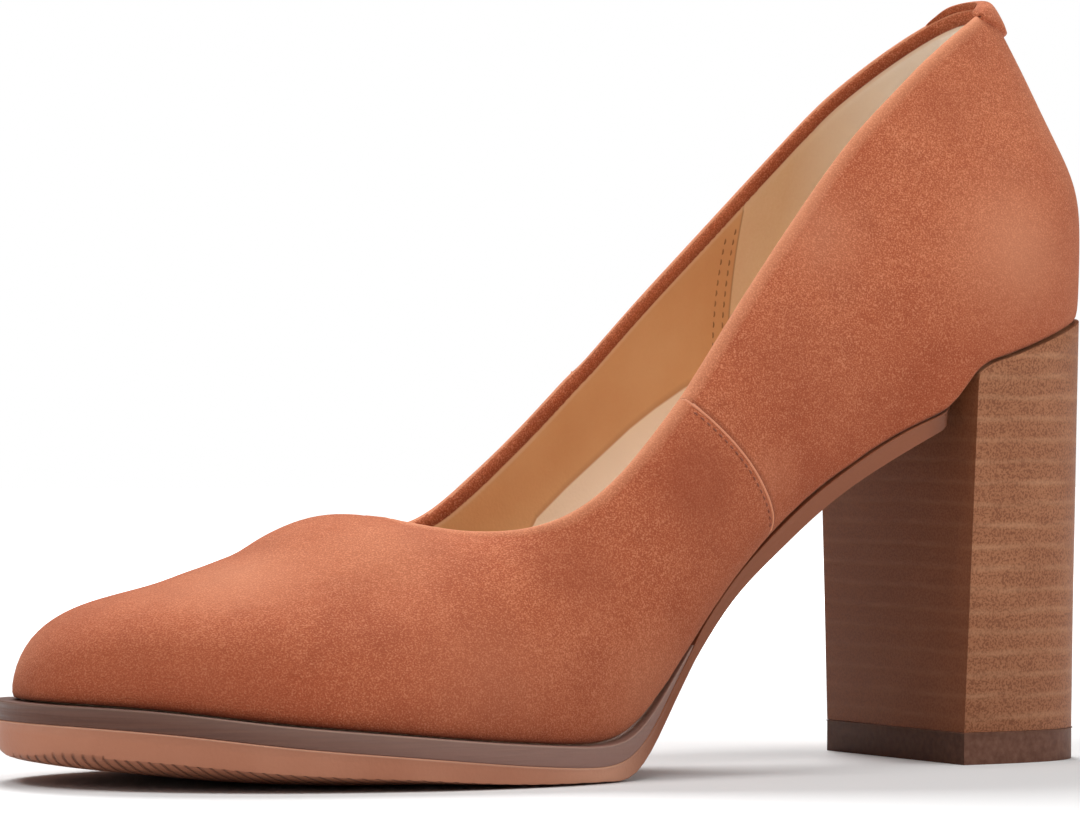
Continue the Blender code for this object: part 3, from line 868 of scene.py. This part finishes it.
# Middle of the foot's room, from the heel to the toe, to tell the inside of
# the wall from the outside
ROOM = (
    # s, y, z
    (20.0, 0.0, 104.0),
    (40.0, 0.0, 98.0),
    (60.0, 1.0, 84.0),
    (80.0, 2.0, 68.0),
    (100.0, 3.0, 48.0),
    (120.0, 2.0, 30.0),
    (145.0, 1.0, 24.0),
    (175.0, -2.0, 22.0),
    (212.0, -5.0, 20.0),
)

# Soft creases of the vamp: place, direction in the surface, half length, half
# width and height; a trough has a height below zero
CREASES = (
    # s, y, z, along s, along y, along z, half length, half width, height
    (176.0, -4.0, 42.0, 0.15, 1.0, 0.05, 17.0, 4.2, -0.55),
    (186.0, -3.0, 37.5, 0.05, 1.0, 0.00, 15.0, 5.0, 0.45),
    (160.0, 24.0, 36.0, 0.9, 0.3, -0.45, 15.0, 4.5, -0.45),
    (142.0, 30.0, 33.0, 0.8, 0.2, -0.55, 13.0, 4.0, 0.35),
    (119.0, 34.0, 27.0, 0.5, 0.1, 0.85, 11.0, 3.4, -0.40),
    (108.0, 32.0, 34.0, 0.45, 0.1, 0.88, 12.0, 3.4, -0.35),
)

# Patches of nap painted lighter, or darker below 0: some are brushed nap, the rest painted highlight on the
# tops and painted shade low on the sides and below the vamp's edge
BRUSHED_AND_LIT_PATCHES = (
    # s, y, z, radius, how much
    (101.0, 32.0, 55.0, 10.0, -1.25),
    (127.0, 32.5, 39.5, 9.0, -0.75),
    (78.5, 28.0, 77.0, 10.0, -0.40),
    (37.0, 20.0, 128.0, 7.0, -0.40),
    (209.0, 18.0, 18.0, 11.0, -0.60),
    (221.0, 3.0, 21.0, 9.0, -0.35),
    (194.0, 27.0, 17.0, 11.0, -0.50),
    (184.5, 7.0, 37.5, 13.0, 0.70),
    (160.0, 16.0, 43.5, 12.0, 0.45),
    (24.0, 26.0, 100.0, 13.0, 0.85),
    (69.0, 24.0, 103.0, 9.0, 0.45),
    (82.5, 28.5, 56.0, 7.0, 0.32),
    (150.0, 39.0, 20.0, 13.0, 0.35),
    (112.0, 32.0, 16.0, 10.0, 0.40),
)

# Height of the wall's foot along the shoe
SEAT = (
    # s, z
    (-8.0, 88.8), (3.0, 86.7), (13.0, 83.7), (21.0, 81.2), (27.0, 79.4), (31.5, 78.0), (34.5, 75.6),
    (38.5, 70.4), (44.0, 67.2), (53.0, 63.0), (62.0, 57.6), (71.0, 51.4), (80.0, 43.9), (88.0, 36.5),
    (96.0, 27.3), (103.0, 19.0), (109.5, 12.4), (116.0, 8.3), (124.0, 7.0), (134.0, 7.4), (148.0, 8.4),
    (170.0, 10.4), (190.0, 12.3), (208.0, 14.5), (226.0, 15.3),
)

# Upper edge of the pale sock where it climbs the wall at the arch
SOCK_EDGE = (
    # s, z
    (20.0, 86.0), (40.0, 77.0), (58.0, 75.5), (70.0, 73.5), (77.7, 68.8), (83.2, 64.9), (88.0, 60.9),
    (97.1, 53.3), (103.6, 47.3), (110.0, 36.0), (118.0, 20.0), (130.0, 11.0), (220.0, 18.0),
)

# Start of the lining's seam: how far from the middle, and from where to where
# it is looked for on the wall
GRIP_HALF = 17.0
GRIP_HEIGHTS = (70.0, 121.0, 0.5)

# Crest of the collar, round from the back along the outer side
COLLAR = (
    # s, y, z
    (15.2, 0.0, 149.4), (17.0, 5.6, 149.0), (21.8, 10.0, 147.2), (29.0, 13.2, 143.4),
    (38.0, 16.4, 138.0), (47.4, 18.4, 130.7), (58.0, 20.0, 121.7), (70.0, 22.0, 109.2),
    (81.0, 24.0, 96.6), (92.0, 26.2, 83.4), (102.0, 28.0, 70.9), (111.0, 29.2, 61.5),
    (119.6, 29.0, 53.4), (128.6, 27.0, 48.0), (137.2, 21.6, 45.8), (143.6, 12.4, 46.0),
    (147.0, 2.0, 46.8), (145.8, -8.6, 47.0), (140.0, -17.0, 46.2), (131.4, -22.0, 46.8),
    (121.4, -23.2, 53.0), (110.0, -22.2, 63.0), (99.0, -20.4, 74.2), (87.6, -18.8, 86.7),
    (76.0, -17.8, 98.4), (64.0, -17.4, 110.0), (52.0, -17.2, 121.4), (41.0, -16.8, 131.4),
    (31.2, -15.2, 139.0), (22.6, -11.8, 145.2), (17.0, -6.4, 148.8),
)


@dataclass
class Upper:
    """Suede vamp and quarters, lined with leather; sizes in millimetres and degrees."""

    layout: Layout
    levels: int = 2
    roll: float = 0.22
    roll_width: float = 1.1
    lining_drop: float = 3.0
    lining_thick: float = 0.32
    grip_front: float = 60.3
    foot_high: float = 1.2
    foot_deg: float = 60.0
    step_s: tuple[float, float] = (76.0, 106.0)
    step_deg: tuple[float, float] = (28.0, 80.0)
    seam_spread: float = 1.8
    seam_past: float = 6.0
    ease_high: float = 3.2
    ease_long: float = 9.5
    crest_reach: float = 4.0
    crest_slice: float = 1.1
    clear_fold: float = 0.7
    clear_stitch: float = 2.2
    clear_lining: float = 4.5
    stitch_in: float = 1.45
    vamp_stitch: Stitch = Stitch(1.62, 1.00, 0.18)
    fold: float = 0.27
    fold_in: float = 0.30
    lining_rows: tuple[float, float] = (0.9, 3.3)
    lining_stitch: Stitch = Stitch(2.10, 1.30, 0.17)
    item: Item | None = None
    extras: list[Item] = field(default_factory=list)
    folds: list[Item] = field(default_factory=list)
    seams: dict[Flank, np.ndarray] = field(default_factory=dict)
    step_middles: np.ndarray = field(init=False)
    face_out: np.ndarray = field(init=False)
    out: np.ndarray = field(init=False)
    rim: np.ndarray = field(init=False)
    rim_gap: np.ndarray = field(init=False)

    def build(self) -> None:
        """Makes the wall, finds its lines, and models its rim and creases."""
        self.item = finer_copy(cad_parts["upper"], "upper_leather", self.levels, self.stays_sharp)
        self.seams = {flank: self.find_seam(flank) for flank in Flank}
        self.sort_sides()
        self.rim = self.find_rim()
        self.ease_step()
        self.measure()
        self.press_creases()
        self.mark_panels()

    def stays_sharp(self, middles: np.ndarray, turns: np.ndarray) -> np.ndarray:
        """Edges of the vamp's step and of the wall's foot.

        Args:
            middles: Middle of each edge.
            turns: Degrees that each edge turns.

        Returns:
            True for the edges that stay sharp.
        """
        shoe = self.layout.shoe(middles)
        low = shoe[:, 2] < height_of(SEAT, shoe) + self.foot_high
        foot = low & (turns > self.foot_deg)
        band = between(shoe[:, 0], self.step_s) & (np.abs(shoe[:, 1]) > 12.0) & ~low
        far, _ = nearest(middles, even(self.layout.place(COLLAR), 0.001, True))
        step = band & between(turns, self.step_deg) & (far > 0.0030)
        self.step_middles = middles[step]
        return foot | step

    def find_seam(self, flank: Flank) -> np.ndarray:
        """Line of the vamp's edge on one side, from the sole up to the collar.

        Args:
            flank: The side of the shoe.

        Returns:
            Points about half a millimetre apart.
        """
        mine = np.sign(self.layout.shoe(self.step_middles)[:, 1]) == flank.value
        spots = self.step_middles[mine]
        heights = np.linspace(spots[:, 2].min(), spots[:, 2].max(), 14)
        rows = []
        for height in heights:
            share = np.exp(-((spots[:, 2] - height) / (self.seam_spread * MM)) ** 2)
            rows.append((spots * share[:, None]).sum(0) / share.sum())
        rows = np.array(rows)
        rise = unit(rows[-1] - rows[-3])
        rows = np.vstack((rows, rows[-1] + rise * self.seam_past * MM))
        return even(rows, 0.0005)

    def sort_sides(self) -> None:
        """Tells the inside of the wall from the outside, by face and by vertex."""
        room = even(self.layout.place(ROOM), 0.002)
        faces = self.item.data.polygons
        centres = np.array([face.center for face in faces])
        facing = np.array([face.normal for face in faces])
        _, which = nearest(centres, room)
        self.face_out = dot(facing, centres - room[which])
        points = points_of(self.item)
        _, which = nearest(points, room)
        self.out = dot(normals_of(self.item), unit(points - room[which]))

    def ease_step(self) -> None:
        """Lets the vamp's step fade out where it reaches the rim."""
        points = points_of(self.item)
        near_rim, _ = nearest(points, self.rim)
        tops = np.array([line[-8:].mean(0) for line in self.seams.values()])
        near_seam, _ = nearest(points, tops)
        chosen = (near_rim < self.ease_high * MM) & (near_seam < self.ease_long * MM) & (self.out > -0.3)
        pick(self.item)
        for vert, keep in zip(self.item.data.vertices, chosen):
            vert.select = bool(keep)
        bpy.ops.object.mode_set(mode="EDIT")
        bpy.ops.mesh.select_mode(type="VERT")
        bpy.ops.mesh.vertices_smooth(factor=0.5, repeat=10)
        bpy.ops.mesh.select_all(action="DESELECT")
        bpy.ops.object.mode_set(mode="OBJECT")

    def find_rim(self) -> np.ndarray:
        """The collar's crest, as a closed line of points in order from the back.

        Returns:
            Points less than a millimetre apart.
        """
        line = soften(even(self.layout.place(COLLAR), 0.0014, True), 10)
        ahead = unit(np.roll(line, -1, 0) - np.roll(line, 1, 0))
        points = points_of(self.item)
        crest = []
        for spot, way in zip(line, ahead):
            near = points[np.linalg.norm(points - spot, axis=1) < self.crest_reach * MM]
            near = near[np.abs((near - spot) @ way) < self.crest_slice * MM]
            rise = np.array(UPWARD) - way * way[2]
            crest.append(near[((near - spot) @ rise).argmax()] if len(near) else spot)
        return even(soften(np.array(crest), 5), 0.0005, True)

    def measure(self) -> None:
        """Keeps each point's distance from the lines that bound the leathers."""
        points = points_of(self.item)
        shoe = self.layout.shoe(points)
        gap, _ = nearest(points, self.rim)
        self.rim_gap = gap / MM
        ahead = np.empty(len(points))
        for flank, line in self.seams.items():
            mine = np.sign(shoe[:, 1] + 1e-6) == flank.value
            way = unit(np.gradient(line, axis=0))
            _, which = nearest(points[mine], line)
            tip = points[mine] - line[which]
            square = tip - dot(tip, way[which])[:, None] * way[which]
            ahead[mine] = np.sign(square[:, 0]) * np.linalg.norm(square, axis=1) / MM
        mark(self.item, "rim_gap", self.rim_gap)
        mark(self.item, "ahead", ahead)
        mark(self.item, "behind", self.grip_front - shoe[:, 0])
        # Patches painted lighter or darker: partly brushed nap, partly painted highlight and shade
        nap = np.zeros(len(points))
        for s, y, z, radius, lighter in BRUSHED_AND_LIT_PATCHES:
            nap += lighter * np.exp(-((shoe - (s, y, z)) ** 2).sum(1) / radius ** 2)
        mark(self.item, "nap", nap)
        mark(self.item, "sole_gap", shoe[:, 2] - height_of(SEAT, shoe))
        mark(self.item, "sock_edge", height_of(SOCK_EDGE, shoe) - shoe[:, 2])

    def press_creases(self) -> None:
        """Rolls the rim, sets the lining in and presses the main creases, softly."""
        points = points_of(self.item)
        normal = normals_of(self.item)
        shoe = self.layout.shoe(points)
        push = np.zeros(len(points))
        for s, y, z, along_s, along_y, along_z, half, width, high in CREASES:
            way = unit(np.array((along_s, along_y, along_z), float))
            gap = shoe - (s, y, z)
            run = gap @ way
            aside = np.linalg.norm(gap - np.outer(run, way), axis=1)
            push += high * np.exp(-(run / half) ** 2 * 1.4 - (aside / width) ** 2 * 1.4)
        outside = self.out > 0.0
        push *= np.where(outside, 1.0, -1.0)
        push += self.roll * np.exp(-((self.rim_gap - self.roll_width) / 0.8) ** 2)
        push -= 0.10 * np.exp(-((self.rim_gap - 3.0) / 0.7) ** 2) * outside
        lined = smooth(self.rim_gap, self.lining_drop - 0.1, self.lining_drop + 0.4)
        push += self.lining_thick * lined * ~outside
        move_points(self.item, points + normal * push[:, None] * MM)

    def mark_panels(self) -> None:
        """Gives the faces their leathers: suede outside, lining inside."""
        self.item.data.materials.append(Suede(seams=True).make())
        self.item.data.materials.append(Lining().make())
        index = np.where(self.face_out < 0.0, 1, 0)
        self.item.data.polygons.foreach_set("material_index", index.astype(np.int32))

    def on_surface(self, line: np.ndarray, side: Side) -> tuple[np.ndarray, np.ndarray]:
        """Puts a line of points on one face of the wall.

        Args:
            line: Points near the wall.
            side: Which face is meant.

        Returns:
            The points on the wall, and the outward direction at each.
        """
        want = (self.face_out > 0.0) == (side is Side.OUTSIDE)
        mesh = self.item.data
        places = [vert.co[:] for vert in mesh.vertices]
        faces = [tuple(face.vertices) for face, keep in zip(mesh.polygons, want) if keep]
        tree = BVHTree.FromPolygons(places, faces)
        spots, ways = [], []
        for point in line:
            spot, way, _, _ = tree.find_nearest(Vector(point))
            spots.append(spot[:])
            ways.append(way[:])
        return np.array(spots), unit(soften(np.array(ways), 3, False))

    def sew(self) -> None:
        """Sews the vamp's edges and the seam of the lining."""
        for flank, line in self.seams.items():
            way = unit(np.gradient(line, axis=0))
            spots, normal = self.on_surface(line, Side.OUTSIDE)
            gap, _ = nearest(spots, self.rim)
            clear = gap > self.clear_fold * MM
            way, spots, normal, gap = (rows[clear] for rows in (way, spots, normal, gap))
            forward = unit(np.cross(normal, way))
            forward *= np.sign(forward[:, :1])
            fold, _ = self.on_surface(spots + forward * self.fold_in * MM, Side.OUTSIDE)
            self.folds.append(cord(f"vamp_edge_{flank.word}", soften(fold, 6, False)[1:], self.fold * MM))
            clear = gap > self.clear_stitch * MM
            spots, forward = spots[clear], forward[clear]
            row, normal = self.on_surface(spots + forward * self.stitch_in * MM, Side.OUTSIDE)
            row, normal = self.on_surface(soften(row, 4, False), Side.OUTSIDE)
            name = f"vamp_stitches_{flank.word}"
            self.extras.append(stitches(name, row[3:], normal[3:], self.vamp_stitch))
        for flank in Flank:
            for number, step in enumerate(self.lining_rows, 1):
                line = self.layout.place([(self.grip_front + step, flank.value * GRIP_HALF, z)
                                          for z in np.arange(*GRIP_HEIGHTS)])
                row, normal = self.on_surface(line, Side.INSIDE)
                gap, _ = nearest(row, self.rim)
                shoe = self.layout.shoe(row)
                keep = (gap > self.clear_lining * MM) & (shoe[:, 2] > height_of(SEAT, shoe) + 8.0)
                name = f"lining_stitches_{flank.word}_{number}"
                self.extras.append(stitches(name, row[keep], normal[keep], self.lining_stitch))

    def dress(self) -> None:
        """Puts the wall and its sewing in the part."""
        self.sew()
        finish_piece(self.item, self.item.data.materials[0], ("upper",))
        thread = Thread("tan_thread", (0.23, 0.066, 0.034)).make()
        pale = Thread("pale_thread", (0.34, 0.160, 0.065)).make()
        # The fold's cord is coloured lighter than the suede: a painted highlight on its crest
        fold_highlight = Thread("lit_folded_edge", (0.60, 0.235, 0.125)).make()
        for piece in self.extras:
            finish_piece(piece, thread if piece.name.startswith("vamp") else pale)
        for piece in self.folds:
            finish_piece(piece, fold_highlight)


@dataclass
class Plain:
    """A CAD node shown as a finer, softer copy of itself."""

    node: str
    name: str
    bevel: float = 0.0
    levels: int = 1
    crease_deg: float = 50.0
    item: Item | None = None

    def build(self) -> None:
        """Makes the copy, with its true edges slightly rounded."""
        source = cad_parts[self.node]
        self.item = finer_copy(source, self.name, self.levels, lambda _, turns: turns > self.crease_deg)
        if self.bevel > 0.0:
            pick(self.item)
            apply_modifier(self.item, "BEVEL", width=self.bevel, segments=3, limit_method="ANGLE",
                           angle_limit=math.radians(self.crease_deg))
            bpy.ops.object.shade_smooth_by_angle(angle=SMOOTH_TURN)

    def fit(self, layout: Layout) -> None:
        """Closes the small gaps round the piece and keeps what its finish needs to know."""

    def press_up(self, lift: float = 0.25) -> None:
        """Closes the small gap above the piece.

        Args:
            lift: How far its upper faces move out, in millimetres.
        """
        facing = normals_of(self.item)
        share = smooth(facing[:, 2], 0.15, 0.50) * lift * MM
        move_points(self.item, points_of(self.item) + facing * share[:, None])

    def dress(self, finish: Finish) -> None:
        """Gives the piece its finish and hides the CAD node."""
        finish_piece(self.item, finish.make(), (self.node,))


@dataclass
class Leaf(Plain):
    """The leaf behind the collar, laid close on the wall."""

    wall: Item | None = None

    def fit(self, layout: Layout) -> None:
        """Closes the small gap under the leaf and thins its inner-side end away."""
        tree = BVHTree.FromPolygons([vert.co[:] for vert in self.wall.data.vertices],
                                    [tuple(face.vertices) for face in self.wall.data.polygons])
        points = points_of(self.item)
        for number, point in enumerate(points):
            spot, way, _, gap = tree.find_nearest(Vector(point))
            close = float(1.0 - smooth(gap / MM, 0.70, 1.05))
            close = max(close, float(smooth(-point[1] / MM, 6.5, 12.5)) * 0.92)
            points[number] = np.array(point) * (1.0 - close) + np.array(spot - way * 0.05 * MM) * close
        move_points(self.item, points)


@dataclass
class Sock(Plain):
    """The insole under its sock, close against the wall."""

    def fit(self, layout: Layout) -> None:
        """Closes most of the gap round it, by moving its sides out."""
        facing = normals_of(self.item) * (1.0, 1.0, 0.0)
        share = smooth(np.linalg.norm(facing, axis=1), 0.15, 0.45) * 0.40 * MM
        move_points(self.item, points_of(self.item) + unit(facing) * share[:, None])


@dataclass
class Midsole(Plain):
    """The welted layer: a painted highlight along its top edge, and a painted reflection that lightens it
    towards the arch.
    """

    def fit(self, layout: Layout) -> None:
        """Keeps where the painted highlight and the painted reflection lie, and closes the gap above."""
        s = layout.shoe(points_of(self.item))[:, 0]
        edge = np.exp(-((normals_of(self.item)[:, 2] - 0.5) / 0.33) ** 2)
        # Where the painted highlight lies along the top edge, fainter at the toe
        mark(self.item, "edge_highlight", edge * (1.0 - 0.6 * smooth(s, 190.0, 215.0)))
        # Painted reflection, lightening the edge from the toe back towards the arch
        mark(self.item, "arch_reflection", 1.0 - smooth(s, 120.0, 215.0))
        self.press_up()


@dataclass
class Outsole(Plain):
    """The rubber sole: ribbed below the forefoot, plain and darker under the arch."""

    def fit(self, layout: Layout) -> None:
        """Keeps where the arch and the ribs are, and draws the strip's end in under the heel's seat."""
        s = layout.shoe(points_of(self.item))[:, 0]
        upward = normals_of(self.item)[:, 2]
        # Where the painted highlight lies along the top edge
        mark(self.item, "edge_highlight", np.exp(-((upward - 0.5) / 0.33) ** 2))
        mark(self.item, "arch", 1.0 - smooth(s, 105.0, 125.0))
        # Where painted shade darkens the strip's end under the heel
        mark(self.item, "tucked_shade", 1.0 - smooth(s, 37.0, 47.0))
        mark(self.item, "bend", 1.0 - smooth(s, 115.0, 150.0))
        # Downward faces ahead of the arch: the ribs, and painted shade on the underside
        mark(self.item, "ribbed", smooth(-upward, 0.35, 0.60) * smooth(s, 108.0, 114.0))
        self.press_up(0.28)
        points = points_of(self.item)
        points[:, 1] *= 1.0 - 0.20 * (1.0 - smooth(layout.shoe(points)[:, 0], 36.5, 41.5))
        move_points(self.item, points)


@dataclass
class Heel(Plain):
    """The stacked heel, with a painted highlight down its two front corners."""

    def fit(self, layout: Layout) -> None:
        """Keeps where the front face and its corners are."""
        s = layout.shoe(points_of(self.item))[:, 0]
        forward = normals_of(self.item)[:, 0]
        # Front face, darkened with painted shade on the heel and its wearing piece
        mark(self.item, "front", smooth(forward, 0.75, 0.95))
        turned = smooth(forward, 0.15, 0.45) * (1.0 - smooth(forward, 0.80, 0.97))
        # Where the painted highlight lies down the front corners
        mark(self.item, "edge_highlight", turned * smooth(s, HEEL_FRONT - 4.0, HEEL_FRONT - 1.5))


@dataclass
class WearingPiece(Heel):
    """The rubber under the heel, close against it."""

    def fit(self, layout: Layout) -> None:
        """Keeps where the front face is and closes the gap above."""
        super().fit(layout)
        self.press_up()


# Point that the lights face, and the world's light on the shoe
AIM = Vector((0.0, 0.0, 0.05))
WORLD_LIGHT = 0.14

LIGHTS = (
    # name, place in metres, side of the square, watts
    ("key", (-0.30, -0.85, 1.40), 0.6, 23.0),
    ("fill", (-1.00, 1.20, 0.90), 0.9, 8.5),
    ("toe", (1.20, 0.90, 1.00), 0.9, 2.5),
    ("front", (0.90, 0.15, 1.35), 0.5, 9.0),
    ("top", (0.00, 0.50, 1.70), 1.0, 9.5),
)


@dataclass
class Studio:
    """Floor, lights and camera."""

    layout: Layout
    camera_s: float = 612.9
    camera_y: float = 842.5
    camera_z: float = 68.6
    azimuth_deg: float = 30.5
    roll_deg: float = 0.4
    lens_mm: float = 171.67

    def floor(self) -> None:
        """A pale flat floor, brighter far from the shoe."""
        unselect()
        bpy.ops.mesh.primitive_plane_add(size=6.0, location=(0.0, 0.0, 0.0))
        item = bpy.context.active_object
        item.name = "floor"
        surface = Surface("floor_paint")
        surface.set(Base_Color=(0.76, 0.76, 0.76), Roughness=0.9, Specular_IOR_Level=0.0,
                    Emission_Strength=1.0)
        across = surface.axis("X") * surface.axis("X") + surface.axis("Y") * surface.axis("Y")
        glow = across.power(0.5).step(0.35, 0.80)
        shine = surface.mix(glow, (0.0, 0.0, 0.0), (1.0, 1.0, 1.0))
        surface.tree.links.new(shine, surface.shader.inputs["Emission Color"])
        item.data.materials.append(surface.material)

    def light(self, name: str, place: Sequence[float], size: float, power: float) -> None:
        """An area light that points at the shoe.

        Args:
            name: The light's name.
            place: Where it hangs, in metres.
            size: Side of its square.
            power: Watts.
        """
        data = bpy.data.lights.new(name, "AREA")
        data.size = size
        data.energy = power
        item = add_item(name, data)
        item.location = place
        item.rotation_euler = (AIM - Vector(place)).to_track_quat("-Z", "Y").to_euler()

    def lights(self) -> None:
        """Soft light from above and from the heel's side of the camera."""
        for name, place, size, power in LIGHTS:
            self.light(name, place, size, power)
        world = bpy.data.worlds.new("studio")
        world.use_nodes = True
        tree = world.node_tree
        paper = tree.nodes["Background"].inputs
        paper["Color"].default_value = (1.0, 1.0, 1.0, 1.0)
        seen = Value(tree, tree.nodes.new("ShaderNodeLightPath").outputs["Is Camera Ray"])
        tree.links.new((seen * (1.0 - WORLD_LIGHT) + WORLD_LIGHT).socket, paper["Strength"])
        bpy.context.scene.world = world
        bpy.context.scene.view_settings.view_transform = "Standard"

    def camera(self) -> None:
        """The camera of the photograph, level, a metre from the heel."""
        turn = math.radians(self.azimuth_deg)
        roll = math.radians(self.roll_deg)
        back = Vector((math.sin(turn), math.cos(turn), 0.0))
        level = Vector((-math.cos(turn), math.sin(turn), 0.0))
        right = level * math.cos(roll) + UPWARD * math.sin(roll)
        up = UPWARD * math.cos(roll) - level * math.sin(roll)
        place = self.layout.place(((self.camera_s, self.camera_y, self.camera_z),))[0]
        data = bpy.data.cameras.new("photo_camera")
        data.sensor_width = 36.0
        data.lens = self.lens_mm
        data.clip_start, data.clip_end = 0.05, 50.0
        item = add_item("photo_camera", data)
        item.matrix_world = Matrix.Translation(place) @ Matrix((right, up, back)).transposed().to_4x4()
        bpy.context.scene.camera = item


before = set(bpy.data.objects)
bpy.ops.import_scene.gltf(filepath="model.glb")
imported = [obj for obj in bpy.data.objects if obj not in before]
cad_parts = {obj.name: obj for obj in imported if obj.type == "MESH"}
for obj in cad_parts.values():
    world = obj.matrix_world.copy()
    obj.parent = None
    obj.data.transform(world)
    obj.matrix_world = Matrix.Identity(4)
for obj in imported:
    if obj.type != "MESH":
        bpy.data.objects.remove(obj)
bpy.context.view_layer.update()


def main() -> None:
    """Builds every piece in order."""
    logging.basicConfig(level=logging.INFO, format="%(message)s")
    unselect()
    layout = Layout.from_frame()

    upper = Upper(layout)
    upper.build()
    upper.dress()

    for piece, finish in (
            (Leaf("back_tab", "back_leaf", levels=2, crease_deg=75.0, wall=upper.item), Suede("leaf_suede")),
            (Sock("insole", "sock"), SmoothLeather()),
            (Midsole("midsole", "welted_midsole", 0.0006), EdgeDye()),
            (Outsole("outsole", "rubber_outsole", 0.0004), GumRubber()),
            (Heel("heel", "stacked_heel", 0.0008), StackedLeather()),
            (WearingPiece("heel_tip", "wearing_piece", 0.0006), TipRubber())):
        piece.build()
        piece.fit(layout)
        piece.dress(finish)

    studio = Studio(layout)
    studio.floor()
    studio.lights()
    studio.camera()


if __name__ == "__main__":
    main()
